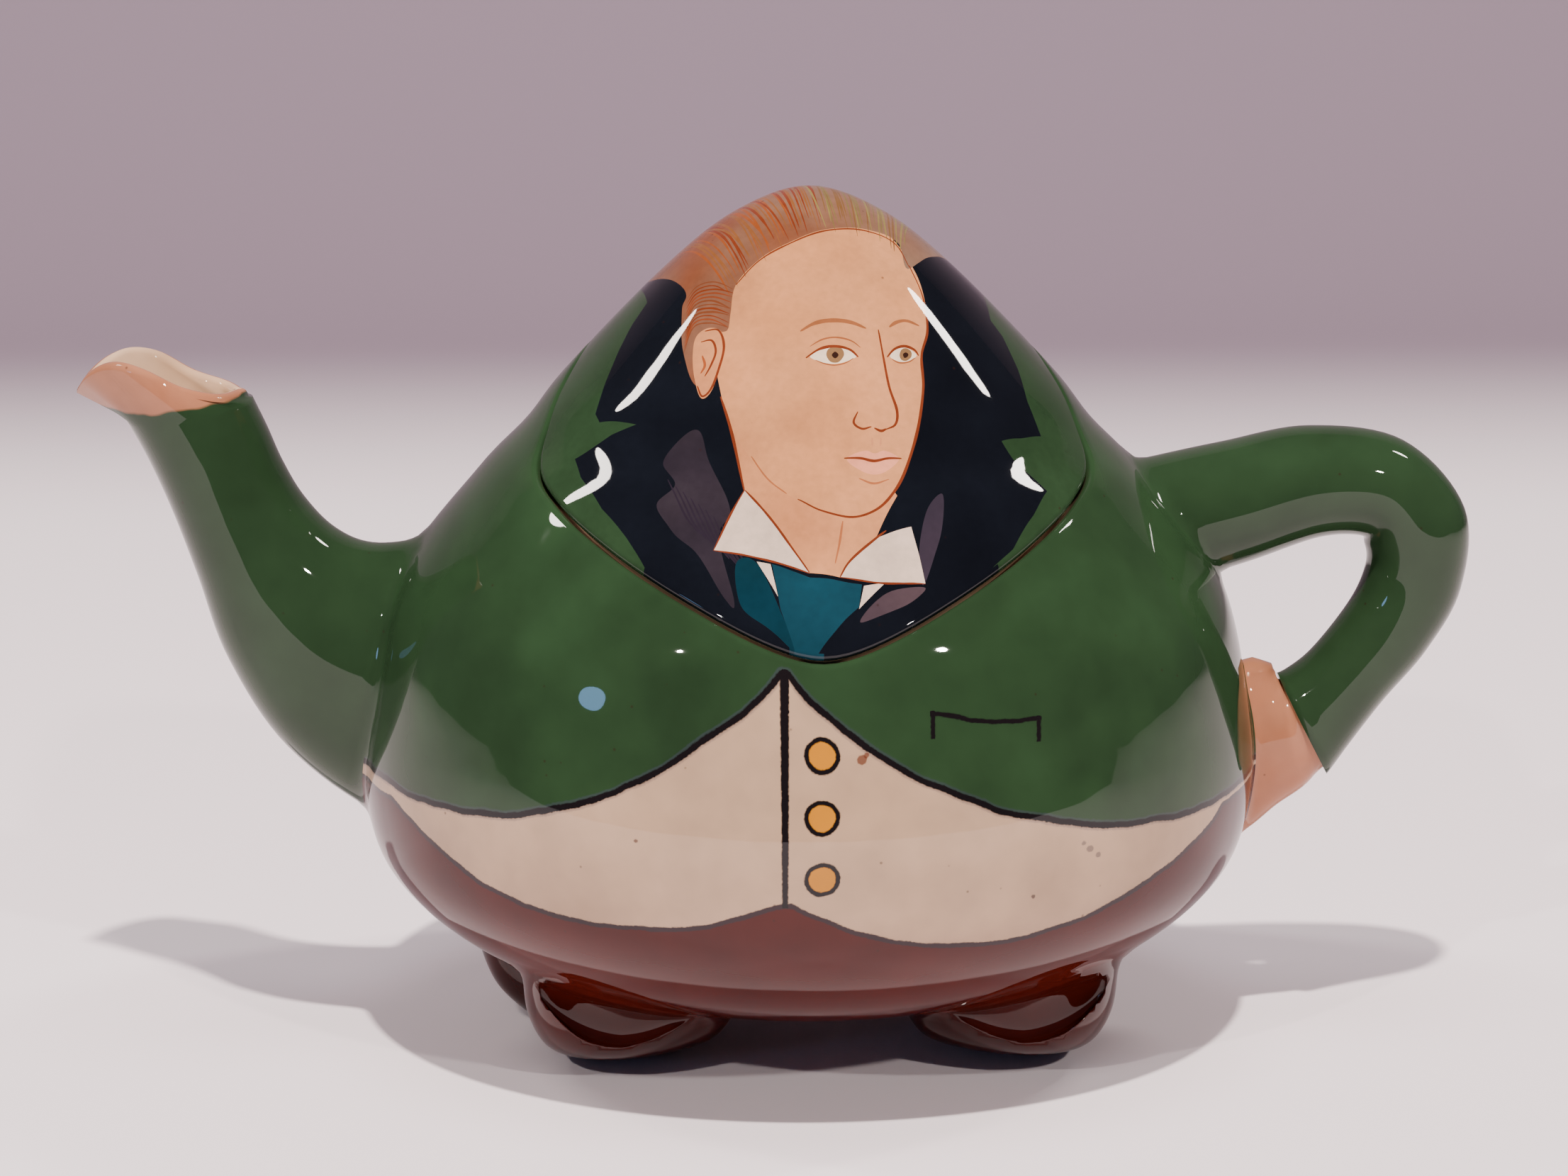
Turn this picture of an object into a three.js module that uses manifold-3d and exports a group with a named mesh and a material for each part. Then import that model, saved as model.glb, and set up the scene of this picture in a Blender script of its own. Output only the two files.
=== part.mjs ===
// A small earthenware teapot in the shape of a round man in a green coat.
// Millimetres, +Z up. The table is z = 0, the spout points to -X, the handle to +X, and the
// painted front faces -Y. The pot is one casting, held here as its body, spout, handle and feet,
// which meet at a hairline gap. The lid lifts straight off it.

import * as THREE from 'three';
import { mergeVertices } from 'three/addons/utils/BufferGeometryUtils.js';
import Module from 'manifold-3d';

const wasm = await Module();
wasm.setup();

// Body
const potHeight = 126.5;
const bellyWidth = 130.6;
const bellyDepth = 112;
const wall = 4;
const floorThickness = 5;
const jointGap = 0.3;

// Seam between the pot and its lid: low in front, where it comes to a point, and high behind
const seamFrontHeight = 68.9;
const seamBackHeight = 106;
const seamTipAngle = 5;
const seamStepAngle = 15;
const seamGap = 0.4;
const edgeRound = 0.7;

// Lid
const lidWall = 3.6;
const flangeDepth = 6;
const flangeWall = 3;
const flangeClearance = 0.9;

// Spout: the man's right arm, with a cupped hand as the pouring lip
const spoutReach = 105.5;
const spoutTopHeight = 102.6;
const spoutWall = 3.2;
const lipWall = 2;
const strainerHole = 5;
const strainerPitch = 8;
const strainerHeight = 0.535 * spoutTopHeight;

// Handle: the man's left arm, bent, with the hand on the hip
const handleReach = 96.5;
const handleThickness = 15;

// Feet: two shoes in front and two plainer ones behind, placed to suit the belly. The shoes were
// set a little towards the handle.
const shoeSpread = 0.2243 * bellyWidth;
const shoeShift = 0.0077 * bellyWidth;
const shoeLength = 0.2067 * bellyWidth;
const rearFootSpread = 0.26 * bellyWidth;
const rearFootLength = 0.245 * bellyWidth;
const footWidth = 0.2857 * bellyDepth;
const shoeSetForward = 0.1786 * bellyDepth;
const rearFootSetBack = 0.1786 * bellyDepth;
const shoeRecessDepth = 3;

// How finely the round forms are cut into flat faces
const bodySides = 52;
const limbSides = 18;
const footSides = 20;
const thumbSides = 12;
const lidRows = 10;
const lidInnerRows = 5;

// Outline of the body from the underside to the top, as shares of half the belly width and of
// the height. The first and last points mirror their neighbours, so the ends are level.
const bodyOutline = [
  [-0.330, 0.069], [0, 0.063], [0.330, 0.069], [0.560, 0.090], [0.790, 0.141], [0.950, 0.218],
  [1, 0.308], [0.990, 0.400], [0.921, 0.548], [0.740, 0.672], [0.630, 0.731], [0.540, 0.790],
  [0.318, 0.908], [0.160, 0.972], [0, 1], [-0.160, 0.972],
];
const ghostPointCount = 1;
const outlineStart = ghostPointCount;
const outlineEnd = bodyOutline.length - 1 - ghostPointCount;

function smoothThrough(points, place) {
  // A smooth curve through the points; a whole number in place is a point of the list
  const last = points.length - 1;
  const index = Math.min(Math.max(Math.floor(place), 0), last - 1);
  const share = place - index;
  const before = points[Math.max(index - 1, 0)];
  const start = points[index];
  const end = points[index + 1];
  const after = points[Math.min(index + 2, last)];
  return start.map((value, axis) => {
    const leaving = (end[axis] - before[axis]) / (index === 0 ? 1 : 2);
    const arriving = (after[axis] - value) / (index + 1 === last ? 1 : 2);
    const rise = end[axis] - value;
    const bend = 3 * rise - 2 * leaving - arriving;
    const twist = leaving + arriving - 2 * rise;
    return value + share * (leaving + share * (bend + share * twist));
  });
}

function outlineAt(place) {
  const [radius, height] = smoothThrough(bodyOutline, place);
  return { radius: radius * bellyWidth / 2, height: height * potHeight };
}

function placeOfHeight(height) {
  // Bisection, because the outline only ever climbs
  let low = outlineStart;
  let high = outlineEnd;
  for (let step = 0; step < 40; step += 1) {
    const middle = (low + high) / 2;
    if (outlineAt(middle).height < height) low = middle;
    else high = middle;
  }
  return (low + high) / 2;
}

function skinPoint(angle, height, depth) {
  // A point this deep under the outer surface, square to it. Angle 0 is the front.
  const place = placeOfHeight(height);
  const here = outlineAt(place);
  const below = outlineAt(Math.max(place - 0.02, outlineStart));
  const above = outlineAt(Math.min(place + 0.02, outlineEnd));
  const run = above.radius - below.radius;
  const rise = above.height - below.height;
  const flattening = bellyDepth / bellyWidth;
  const outward = new THREE.Vector3(
    rise * Math.sin(angle),
    -rise * Math.cos(angle) / flattening,
    -run,
  ).normalize();
  const point = new THREE.Vector3(
    here.radius * Math.sin(angle),
    -here.radius * Math.cos(angle) * flattening,
    here.height,
  );
  return point.addScaledVector(outward, -depth);
}

// How the seam climbs, as shares of its rise, at each step of the angle from front to back
const seamRises = [
  [0], [0.182], [0.329], [0.450], [0.575], [0.815], [0.925], [0.972], [0.990], [1], [1], [1], [1],
];

function seamHeight(angle) {
  const degrees = THREE.MathUtils.radToDeg(Math.abs(angle));
  const turned = Math.hypot(degrees, seamTipAngle) - seamTipAngle;
  const [share] = smoothThrough(seamRises, turned / seamStepAngle);
  return seamFrontHeight + (seamBackHeight - seamFrontHeight) * share;
}

function ringOf(sides, pointAt) {
  // Angles run from the back round by the handle, so the front point is an exact corner
  return Array.from({ length: sides }, (_, index) => {
    return pointAt(-Math.PI + index * 2 * Math.PI / sides);
  });
}

function middleOf(ring) {
  const middle = new THREE.Vector3();
  ring.forEach((point) => middle.add(point));
  return middle.divideScalar(ring.length);
}

function solidOfRings(rings, firstPole, lastPole) {
  // One closed skin over a stack of rings, with a fan of faces at each end
  const sides = rings[0].length;
  const positions = [];
  rings.forEach((ring) => ring.forEach((point) => positions.push(point.x, point.y, point.z)));
  const first = rings.length * sides;
  const last = first + 1;
  positions.push(firstPole.x, firstPole.y, firstPole.z, lastPole.x, lastPole.y, lastPole.z);
  const faces = [];
  for (let side = 0; side < sides; side += 1) {
    const next = (side + 1) % sides;
    faces.push(first, next, side);
    for (let row = 0; row + 1 < rings.length; row += 1) {
      const here = row * sides;
      const above = here + sides;
      faces.push(here + side, here + next, above + side);
      faces.push(here + next, above + next, above + side);
    }
    const top = (rings.length - 1) * sides;
    faces.push(last, top + side, top + next);
  }
  const geometry = new THREE.BufferGeometry();
  geometry.setAttribute('position', new THREE.Float32BufferAttribute(positions, 3));
  geometry.setIndex(faces);
  return toManifold(geometry);
}

function toManifold(geometry) {
  const bare = geometry.clone();
  bare.deleteAttribute('normal');
  bare.deleteAttribute('uv');
  const merged = mergeVertices(bare, 1e-4);
  const vertProperties = new Float32Array(merged.attributes.position.array);
  const triVerts = new Uint32Array(merged.index.array);
  const solid = new wasm.Manifold(new wasm.Mesh({ numProp: 3, vertProperties, triVerts }));
  if (solid.volume() > 0) return solid;
  // Rings that run the other way round give a skin inside out, so its faces are turned
  triVerts.reverse();
  return new wasm.Manifold(new wasm.Mesh({ numProp: 3, vertProperties, triVerts }));
}

function toGeometry(solid) {
  const mesh = solid.getMesh();
  const geometry = new THREE.BufferGeometry();
  geometry.setAttribute('position', new THREE.BufferAttribute(mesh.vertProperties, 3));
  geometry.setIndex(new THREE.BufferAttribute(mesh.triVerts, 1));
  const flat = geometry.toNonIndexed();
  flat.computeVertexNormals();
  return flat;
}

// Body: places of its rings on the outline up to the belt, and a few more that follow the seam.
// The inside starts higher, where the floor meets the wall.
const beltHeight = 0.88 * seamFrontHeight;
const outerPlaces = [2, 2.5, 3, 3.5, 4, 4.5, 5, 5.6, 6.3, 7];
const innerPlaces = outerPlaces.slice(2);
const outerSeamRows = 6;
const innerSeamRows = 3;

function shellRings(places, depth, seamDrop, rows) {
  // Rings from the underside up to the seam, all at one depth under the outer surface
  const heights = places.map((place) => outlineAt(place).height);
  const rings = [...heights, beltHeight].map((height) => {
    return ringOf(bodySides, (angle) => skinPoint(angle, height, depth));
  });
  for (let row = 1; row <= rows; row += 1) {
    rings.push(ringOf(bodySides, (angle) => {
      const top = seamHeight(angle) - seamDrop;
      return skinPoint(angle, beltHeight + (top - beltHeight) * row / rows, depth);
    }));
  }
  return rings;
}

function seamRing(depth, seamDrop) {
  return ringOf(bodySides, (angle) => skinPoint(angle, seamHeight(angle) - seamDrop, depth));
}

function makeBodyShell() {
  const outer = shellRings(outerPlaces, 0, edgeRound, outerSeamRows);
  const land = [seamRing(edgeRound, 0), seamRing(wall - edgeRound, 0)];
  const inner = shellRings(innerPlaces, wall, edgeRound, innerSeamRows);
  const underside = new THREE.Vector3(0, 0, outlineAt(outlineStart).height);
  const inside = underside.clone().setZ(underside.z + floorThickness);
  return solidOfRings([...outer, ...land, ...inner.reverse()], underside, inside);
}

function makeBodyBlank() {
  // The body filled in and larger by the joint gap, to trim what is stuck on to it
  const rings = shellRings(outerPlaces, -jointGap, edgeRound, outerSeamRows);
  const underside = new THREE.Vector3(0, 0, rings[0][0].z);
  return solidOfRings(rings, underside, new THREE.Vector3(0, 0, seamBackHeight - wall));
}

// Limbs: each section has an upper and a lower edge in the X-Z plane and a half thickness in Y
function sectionRing(section, inset, sides) {
  const [upperX, upperZ, lowerX, lowerZ, halfThickness] = section;
  const upper = new THREE.Vector3(upperX, 0, upperZ);
  const lower = new THREE.Vector3(lowerX, 0, lowerZ);
  const middle = upper.clone().add(lower).multiplyScalar(0.5);
  const across = upper.clone().sub(middle);
  const halfWidth = across.length() - inset;
  across.normalize();
  return ringOf(sides, (angle) => {
    const point = middle.clone().addScaledVector(across, halfWidth * Math.cos(angle));
    point.y = (halfThickness - inset) * Math.sin(angle);
    return point;
  });
}

function limbRings(sections, inset, sides, steps) {
  const rings = [];
  const spans = sections.length - 1;
  for (let step = 0; step <= spans * steps; step += 1) {
    rings.push(sectionRing(smoothThrough(sections, step / steps), inset, sides));
  }
  return rings;
}

function makeSpout() {
  // Shares of the reach for x and of the lip height for z, from inside the body to the wrist
  const reach = -spoutReach;
  const rise = spoutTopHeight;
  const shares = [
    [0.436, 0.746, 0.464, 0.322, 0.114], [0.526, 0.733, 0.597, 0.333, 0.112],
    [0.602, 0.727, 0.725, 0.432, 0.106], [0.653, 0.749, 0.804, 0.563, 0.099],
    [0.694, 0.794, 0.843, 0.685, 0.092], [0.722, 0.845, 0.874, 0.777, 0.088],
    [0.742, 0.895, 0.904, 0.851, 0.087], [0.761, 0.938, 0.933, 0.909, 0.086],
  ];
  const sections = shares.map(([upperX, upperZ, lowerX, lowerZ, half]) => {
    return [upperX * reach, upperZ * rise, lowerX * reach, lowerZ * rise, half * spoutReach];
  });
  // The rim of the cupped hand from the heel of the hand, round one side, to the finger tips
  const rimShares = [
    [0.767, 0, 0.951], [0.795, 0.060, 0.953], [0.843, 0.078, 0.966], [0.892, 0.086, 0.991],
    [0.932, 0.070, 1], [0.962, 0.044, 0.994], [0.985, 0.022, 0.978], [1, 0, 0.957],
  ];
  const rimRing = (inset, drop) => ringOf(limbSides, (angle) => {
    const share = Math.abs(angle) / Math.PI;
    const [x, y, z] = smoothThrough(rimShares, share * (rimShares.length - 1));
    const inward = new THREE.Vector2(Math.sin((share - 0.5) * Math.PI), 1).normalize();
    const side = Math.sign(Math.sin(angle)) * Math.max(y * spoutReach - inset * inward.y, 0);
    return new THREE.Vector3(x * reach + inset * inward.x, side, z * rise - drop);
  });
  const outer = limbRings(sections, 0, limbSides, 2);
  const bore = limbRings(sections, spoutWall, limbSides, 1);
  const lip = [
    rimRing(0, edgeRound), rimRing(edgeRound, 0), rimRing(lipWall - edgeRound, 0),
    rimRing(lipWall, edgeRound),
  ];
  const rings = [...outer, ...lip, ...bore.reverse()];
  return solidOfRings(rings, middleOf(rings[0]), middleOf(rings[rings.length - 1]));
}

function makeHandle() {
  // The middle line of the arm as shares of its reach, with the thickness as a share of the
  // named one. The arm is round.
  const reach = handleReach;
  const line = [
    [0.430, 0.765, 1.36], [0.540, 0.800, 1.27], [0.650, 0.829, 1.20], [0.765, 0.858, 1.10],
    [0.868, 0.848, 1.02], [0.921, 0.789, 1.03], [0.922, 0.711, 0.96], [0.886, 0.634, 0.90],
    [0.822, 0.552, 0.87],
  ];
  const sections = line.map(([x, z, thickness], index) => {
    const before = line[Math.max(index - 1, 0)];
    const after = line[Math.min(index + 1, line.length - 1)];
    const along = new THREE.Vector2(after[0] - before[0], after[1] - before[1]).normalize();
    const half = thickness * handleThickness / 2;
    const lift = new THREE.Vector2(-along.y, along.x).multiplyScalar(half);
    return [x * reach + lift.x, z * reach + lift.y, x * reach - lift.x, z * reach - lift.y, half];
  });
  // The sleeve ends in a slanting cuff, given by its outer and inner corner
  const [outerX, outerZ, innerX, innerZ, cuffHalf] = [0.797, 0.401, 0.719, 0.555, 0.43];
  sections.push([
    outerX * reach, outerZ * reach, innerX * reach, innerZ * reach, cuffHalf * handleThickness,
  ]);
  const rings = limbRings(sections, 0, limbSides, 2);
  return solidOfRings(rings, middleOf(rings[0]), middleOf(rings[rings.length - 1]));
}

function makeHipHand() {
  // A flat hand that fans out from the cuff to the hip, and the thumb on top of it
  const reach = handleReach;
  const thick = handleThickness;
  const shares = [
    [0.741, 0.539, 0.798, 0.430, 0.35], [0.711, 0.547, 0.767, 0.385, 0.37],
    [0.689, 0.554, 0.720, 0.350, 0.37], [0.663, 0.560, 0.679, 0.315, 0.36],
    [0.627, 0.565, 0.627, 0.286, 0.35], [0.560, 0.560, 0.560, 0.285, 0.33],
  ];
  const sections = shares.map(([upperX, upperZ, lowerX, lowerZ, half]) => {
    return [upperX * reach, upperZ * reach, lowerX * reach, lowerZ * reach, half * thick];
  });
  const palm = limbRings(sections, 0, limbSides, 2);
  const thumbShares = [
    [0.648, 0.456, 0.720, 0.472, 0.21], [0.653, 0.528, 0.717, 0.539, 0.23],
    [0.657, 0.570, 0.709, 0.574, 0.19],
  ];
  const thumbSections = thumbShares.map(([upperX, upperZ, lowerX, lowerZ, half]) => {
    return [lowerX * reach, lowerZ * reach, upperX * reach, upperZ * reach, half * thick];
  });
  const thumb = limbRings(thumbSections, 0, thumbSides, 2);
  const palmSolid = solidOfRings(palm, middleOf(palm[0]), middleOf(palm[palm.length - 1]));
  const tipRise = new THREE.Vector3(-0.03, 0, 0.08).multiplyScalar(thick);
  const thumbTip = middleOf(thumb[thumb.length - 1]).add(tipRise);
  return palmSolid.add(solidOfRings(thumb, middleOf(thumb[0]), thumbTip));
}

function makeFoot(foot) {
  // Plan rings of a lobe that narrows towards the middle of the pot, from the sole upwards:
  // height, half length and half width as shares, and how far the ring lies forward
  const halfLength = foot.length / 2;
  const halfWidth = footWidth / 2;
  const levels = [
    [0, 0.40, 0.27, -0.75], [0.011, 0.62, 0.50, -0.60], [0.035, 0.84, 0.76, -0.38],
    [0.075, 0.98, 0.90, -0.20], [0.120, 1.02, 0.97, -0.12], [0.165, 1.03, 1.00, -0.06],
    [0.210, 1.00, 0.98, -0.06],
  ];
  // The plan is blunter than an oval, and drawn out towards the middle
  const blunt = (share) => Math.sign(share) * Math.abs(share) ** 0.8;
  const rings = levels.map(([height, length, width, lean]) => ringOf(footSides, (angle) => {
    const inner = Math.max(0, -Math.cos(angle));
    const along = length * halfLength * blunt(Math.cos(angle)) * (1 + 0.3 * inner);
    const x = foot.side * (foot.spread + along) + foot.shift;
    const reach = width * blunt(Math.sin(angle)) * (1 - 0.3 * inner);
    const y = foot.setForward + (lean + reach) * halfWidth;
    return new THREE.Vector3(x, foot.facing * y, height * potHeight);
  }));
  return solidOfRings(rings, middleOf(rings[0]), middleOf(rings[rings.length - 1]));
}

function makeShoeRecess(foot) {
  // An almond hollow in the toe, blunt on the outside and pointed towards the middle
  const halfLength = foot.length / 2;
  const halfWidth = footWidth / 2;
  const [turn, lean] = [8, 30].map(THREE.MathUtils.degToRad);
  const almond = new THREE.SphereGeometry(1, 16, 10);
  const position = almond.attributes.position;
  for (let index = 0; index < position.count; index += 1) {
    const along = Math.max(position.getX(index), -1);
    const pinch = along > 0 ? Math.max(1 - along, 0) ** 0.3 : 1;
    const x = along * 0.94 * halfLength;
    // Bent to follow the round of the toe
    const bend = 0.38 * x * x / halfLength;
    position.setXYZ(index, x, position.getY(index) * shoeRecessDepth + bend,
      position.getZ(index) * 0.41 * halfWidth * pinch);
  }
  almond.rotateY(turn);
  almond.rotateX(lean);
  almond.scale(-foot.side, 1, 1);
  const toe = foot.setForward + 0.76 * halfWidth;
  const inwards = 0.1 * halfLength;
  almond.translate(foot.side * (foot.spread - inwards) + foot.shift, foot.facing * toe,
    0.1 * potHeight);
  return toManifold(almond);
}

function makeStrainer() {
  // Round holes through the wall behind the spout: one in the middle and six around it
  const holes = [[0, 0]];
  for (let hole = 0; hole < 6; hole += 1) {
    const angle = hole * Math.PI / 3;
    holes.push([strainerPitch * Math.cos(angle), strainerPitch * Math.sin(angle)]);
  }
  return holes.map(([y, z]) => {
    const bit = new THREE.CylinderGeometry(strainerHole / 2, strainerHole / 2, 3 * wall, 10);
    bit.rotateZ(Math.PI / 2);
    bit.translate(-bellyWidth / 2 + wall, y, strainerHeight + z);
    return toManifold(bit);
  });
}

function makeLid() {
  // From the top down the outside, in along the seat, down round the flange and up inside. The
  // rows crowd together towards the top, where the lid is roundest.
  const crowding = 1.25;
  const rings = (depth, rows) => Array.from({ length: rows }, (_, row) => {
    const share = ((row + 1) / rows) ** crowding;
    return ringOf(bodySides, (angle) => {
      const seam = seamHeight(angle) + seamGap + edgeRound;
      return skinPoint(angle, potHeight - (potHeight - seam) * share, depth);
    });
  });
  const seat = [seamRing(edgeRound, -seamGap), seamRing(wall + flangeClearance, -seamGap)];
  const flangeRing = (inset, drop) => ringOf(bodySides, (angle) => {
    const edge = skinPoint(angle, seamHeight(angle), wall);
    const around = 0.01;
    const ahead = skinPoint(angle + around, seamHeight(angle + around), wall);
    const behind = skinPoint(angle - around, seamHeight(angle - around), wall);
    const inward = new THREE.Vector3(behind.y - ahead.y, ahead.x - behind.x, 0).normalize();
    return edge.addScaledVector(inward, inset).setZ(edge.z - drop);
  });
  const flange = [
    flangeRing(flangeClearance, flangeDepth),
    flangeRing(flangeClearance + flangeWall, flangeDepth),
    flangeRing(flangeClearance + flangeWall, 0),
  ];
  const inner = rings(lidWall, lidInnerRows).slice(0, -1);
  const top = new THREE.Vector3(0, 0, potHeight);
  const profile = [...rings(0, lidRows), ...seat, ...flange, ...inner.reverse()];
  return solidOfRings(profile, top, top.clone().setZ(potHeight - lidWall));
}

function glaze(color) {
  return new THREE.MeshStandardMaterial({ color, roughness: 0.12, metalness: 0 });
}

const greenGlaze = glaze(0x2f6a2c);
const paintedGlaze = glaze(0xd8ab88);
const brownGlaze = glaze(0x7c3a2c);
const teapot = new THREE.Group();

function place(name, solid, material) {
  const mesh = new THREE.Mesh(toGeometry(solid), material);
  mesh.name = name;
  teapot.add(mesh);
}

const bodyBlank = makeBodyBlank();
const strainedBody = makeStrainer().reduce((body, hole) => body.subtract(hole), makeBodyShell());
place('body', strainedBody, greenGlaze);
place('spout', makeSpout().subtract(bodyBlank), greenGlaze);
place('handle', makeHandle().add(makeHipHand()).subtract(bodyBlank), greenGlaze);
const shoe = {
  facing: -1, spread: shoeSpread, shift: shoeShift, length: shoeLength, setForward: shoeSetForward,
};
const rearFoot = {
  facing: 1, spread: rearFootSpread, shift: 0, length: rearFootLength,
  setForward: rearFootSetBack,
};
for (const [sideName, side] of [['left', -1], ['right', 1]]) {
  const carvedShoe = makeFoot({ side, ...shoe }).subtract(makeShoeRecess({ side, ...shoe }));
  place(`shoe_${sideName}`, carvedShoe.subtract(bodyBlank), brownGlaze);
  place(`rear_foot_${sideName}`, makeFoot({ side, ...rearFoot }).subtract(bodyBlank), brownGlaze);
}
place('lid', makeLid(), paintedGlaze);

// The origin is on the table under the middle of the whole pot, not under the body's own axis
const middle = new THREE.Box3().setFromObject(teapot).getCenter(new THREE.Vector3());
teapot.position.set(-middle.x, -middle.y, 0);

export default teapot;
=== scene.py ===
import math
import random

import bmesh
import bpy
from mathutils import Matrix, Vector, noise
from mathutils.bvhtree import BVHTree
from mathutils.geometry import delaunay_2d_cdt


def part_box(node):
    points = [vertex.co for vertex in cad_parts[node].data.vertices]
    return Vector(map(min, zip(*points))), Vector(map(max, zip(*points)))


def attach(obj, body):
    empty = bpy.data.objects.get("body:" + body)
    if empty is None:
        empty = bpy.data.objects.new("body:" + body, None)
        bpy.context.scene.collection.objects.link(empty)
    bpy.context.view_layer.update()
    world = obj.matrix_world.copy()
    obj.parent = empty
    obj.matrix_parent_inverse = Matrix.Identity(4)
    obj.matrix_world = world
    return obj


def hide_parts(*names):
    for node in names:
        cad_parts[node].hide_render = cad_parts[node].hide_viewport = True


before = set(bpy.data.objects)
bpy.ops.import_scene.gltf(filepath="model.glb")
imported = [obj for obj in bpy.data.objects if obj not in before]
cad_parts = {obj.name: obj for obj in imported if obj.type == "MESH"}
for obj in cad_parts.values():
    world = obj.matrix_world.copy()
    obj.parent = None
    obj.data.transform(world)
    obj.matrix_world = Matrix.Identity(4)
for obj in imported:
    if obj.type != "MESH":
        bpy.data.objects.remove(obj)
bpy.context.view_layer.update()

# The view: the teapot stands on a pale table and is seen from a little above, with the spout's
# side turned slightly nearer. The painting below is laid out as it is seen from this place.
SPOUT_REACH = 0.1055
BODY_AXIS_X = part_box("spout")[0][0] + SPOUT_REACH
VIEW_DISTANCE = 0.62
VIEW_RISE = math.radians(13.0)
VIEW_TURN = math.radians(2.0)
VIEW_TARGET = Vector((BODY_AXIS_X - 0.0036, 0.0, 0.0674))
FIELD_WIDTH = 0.2295          # metres across the picture at the teapot's own distance

toward_view = Vector((
    -math.sin(VIEW_TURN) * math.cos(VIEW_RISE),
    -math.cos(VIEW_TURN) * math.cos(VIEW_RISE),
    math.sin(VIEW_RISE),
))
eye = VIEW_TARGET + toward_view * VIEW_DISTANCE
camera_data = bpy.data.cameras.new("camera")
camera_data.sensor_width = 36.0
camera_data.lens = 36.0 * VIEW_DISTANCE / FIELD_WIDTH
camera_data.clip_start = 0.01
camera = bpy.data.objects.new("camera", camera_data)
camera.location = eye
camera.rotation_euler = (-toward_view).to_track_quat("-Z", "Y").to_euler()
bpy.context.scene.collection.objects.link(camera)
bpy.context.scene.camera = camera
view_right = camera.rotation_euler.to_matrix() @ Vector((1.0, 0.0, 0.0))
view_up = camera.rotation_euler.to_matrix() @ Vector((0.0, 1.0, 0.0))


# The body: a slip-cast earthenware bowl, oval in plan, with 4 mm walls. It narrows upwards as
# the man's coat does, and its opening is cut on a slope, low and pointed in front.
POT_HEIGHT = 0.1265
BELLY_RADIUS = 0.0653
FLATTENING = 112 / 130.6
WALL = 0.004
FLOOR_THICKNESS = 0.005
EDGE_ROUND = 0.0008
SEAM_FRONT = 0.0689
SEAM_BACK = 0.106
SEAM_TIP_ANGLE = math.radians(5)
SEAM_GAP = 0.0004
SEAM_STEP = math.radians(15)          # between the rises below, as shares from front to back
SEAM_RISES = [0, 0.182, 0.329, 0.450, 0.575, 0.815, 0.925, 0.972, 0.990, 1, 1, 1, 1]
OUTLINE = [
    (-0.330, 0.069), (0, 0.063), (0.330, 0.069), (0.560, 0.090), (0.790, 0.141),
    (0.950, 0.218), (1, 0.308), (0.990, 0.400), (0.921, 0.548), (0.740, 0.672),
    (0.630, 0.731), (0.540, 0.790), (0.318, 0.908), (0.160, 0.972), (0, 1), (-0.160, 0.972),
]
OUTLINE_START = 1
OUTLINE_END = len(OUTLINE) - 2
OUTLINE_STEPS = 2400


def smooth_through(points, place):
    """A smooth curve through the points, where place 2.5 is half way from point 2 to 3."""
    last = len(points) - 1
    index = min(max(int(place), 0), last - 1)
    share = place - index
    before, start, end = points[max(index - 1, 0)], points[index], points[index + 1]
    after = points[min(index + 2, last)]
    result = []
    for a, b, c, d in zip(before, start, end, after):
        leaving = (c - a) / (1 if index == 0 else 2)
        arriving = (d - b) / (1 if index + 1 == last else 2)
        rise = c - b
        bend = 3 * rise - 2 * leaving - arriving
        twist = leaving + arriving - 2 * rise
        result.append(b + share * (leaving + share * (bend + share * twist)))
    return result


def outline_at(place):
    radius, height = smooth_through(OUTLINE, place)
    return radius * BELLY_RADIUS, height * POT_HEIGHT


outline_steps = [
    outline_at(OUTLINE_START + (OUTLINE_END - OUTLINE_START) * step / OUTLINE_STEPS)
    for step in range(OUTLINE_STEPS + 1)
]


def place_where(value, column, low, high):
    """Index of the outline step whose height (1) or radius (0) first reaches the value."""
    rising = outline_steps[high][column] > outline_steps[low][column]
    while high - low > 1:
        middle = (low + high) // 2
        if (outline_steps[middle][column] < value) == rising:
            low = middle
        else:
            high = middle
    a, b = outline_steps[low][column], outline_steps[high][column]
    return low + (value - a) / (b - a) if b != a else float(low)


widest_step = max(range(OUTLINE_STEPS + 1), key=lambda step: outline_steps[step][0])


def outline_point(step):
    """Radius, height and slope of the outline at a fractional step."""
    index = min(max(int(step), 0), OUTLINE_STEPS - 1)
    share = step - index
    (r0, z0), (r1, z1) = outline_steps[index], outline_steps[index + 1]
    low, high = outline_steps[max(index - 8, 0)], outline_steps[min(index + 9, OUTLINE_STEPS)]
    return r0 + (r1 - r0) * share, z0 + (z1 - z0) * share, high[0] - low[0], high[1] - low[1]


def skin_frame(angle, step):
    """Point on the outer surface and its outward direction. Angle 0 is the front."""
    radius, height, run, rise = outline_point(step)
    point = Vector((
        BODY_AXIS_X + radius * math.sin(angle),
        -radius * math.cos(angle) * FLATTENING,
        height,
    ))
    outward = Vector((
        rise * math.sin(angle), -rise * math.cos(angle) / FLATTENING, -run,
    )).normalized()
    return point, outward


def skin_at_height(angle, height, depth=0.0):
    step = place_where(height, 1, 0, OUTLINE_STEPS)
    point, outward = skin_frame(angle, step)
    return point - outward * depth, outward


def seam_height(angle):
    turned = math.hypot(angle, SEAM_TIP_ANGLE) - SEAM_TIP_ANGLE
    rise = smooth_through([(share,) for share in SEAM_RISES], turned / SEAM_STEP)[0]
    return SEAM_FRONT + (SEAM_BACK - SEAM_FRONT) * rise


def ring_angles(sides):
    return [-math.pi + 2 * math.pi * index / sides for index in range(sides)]


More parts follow.
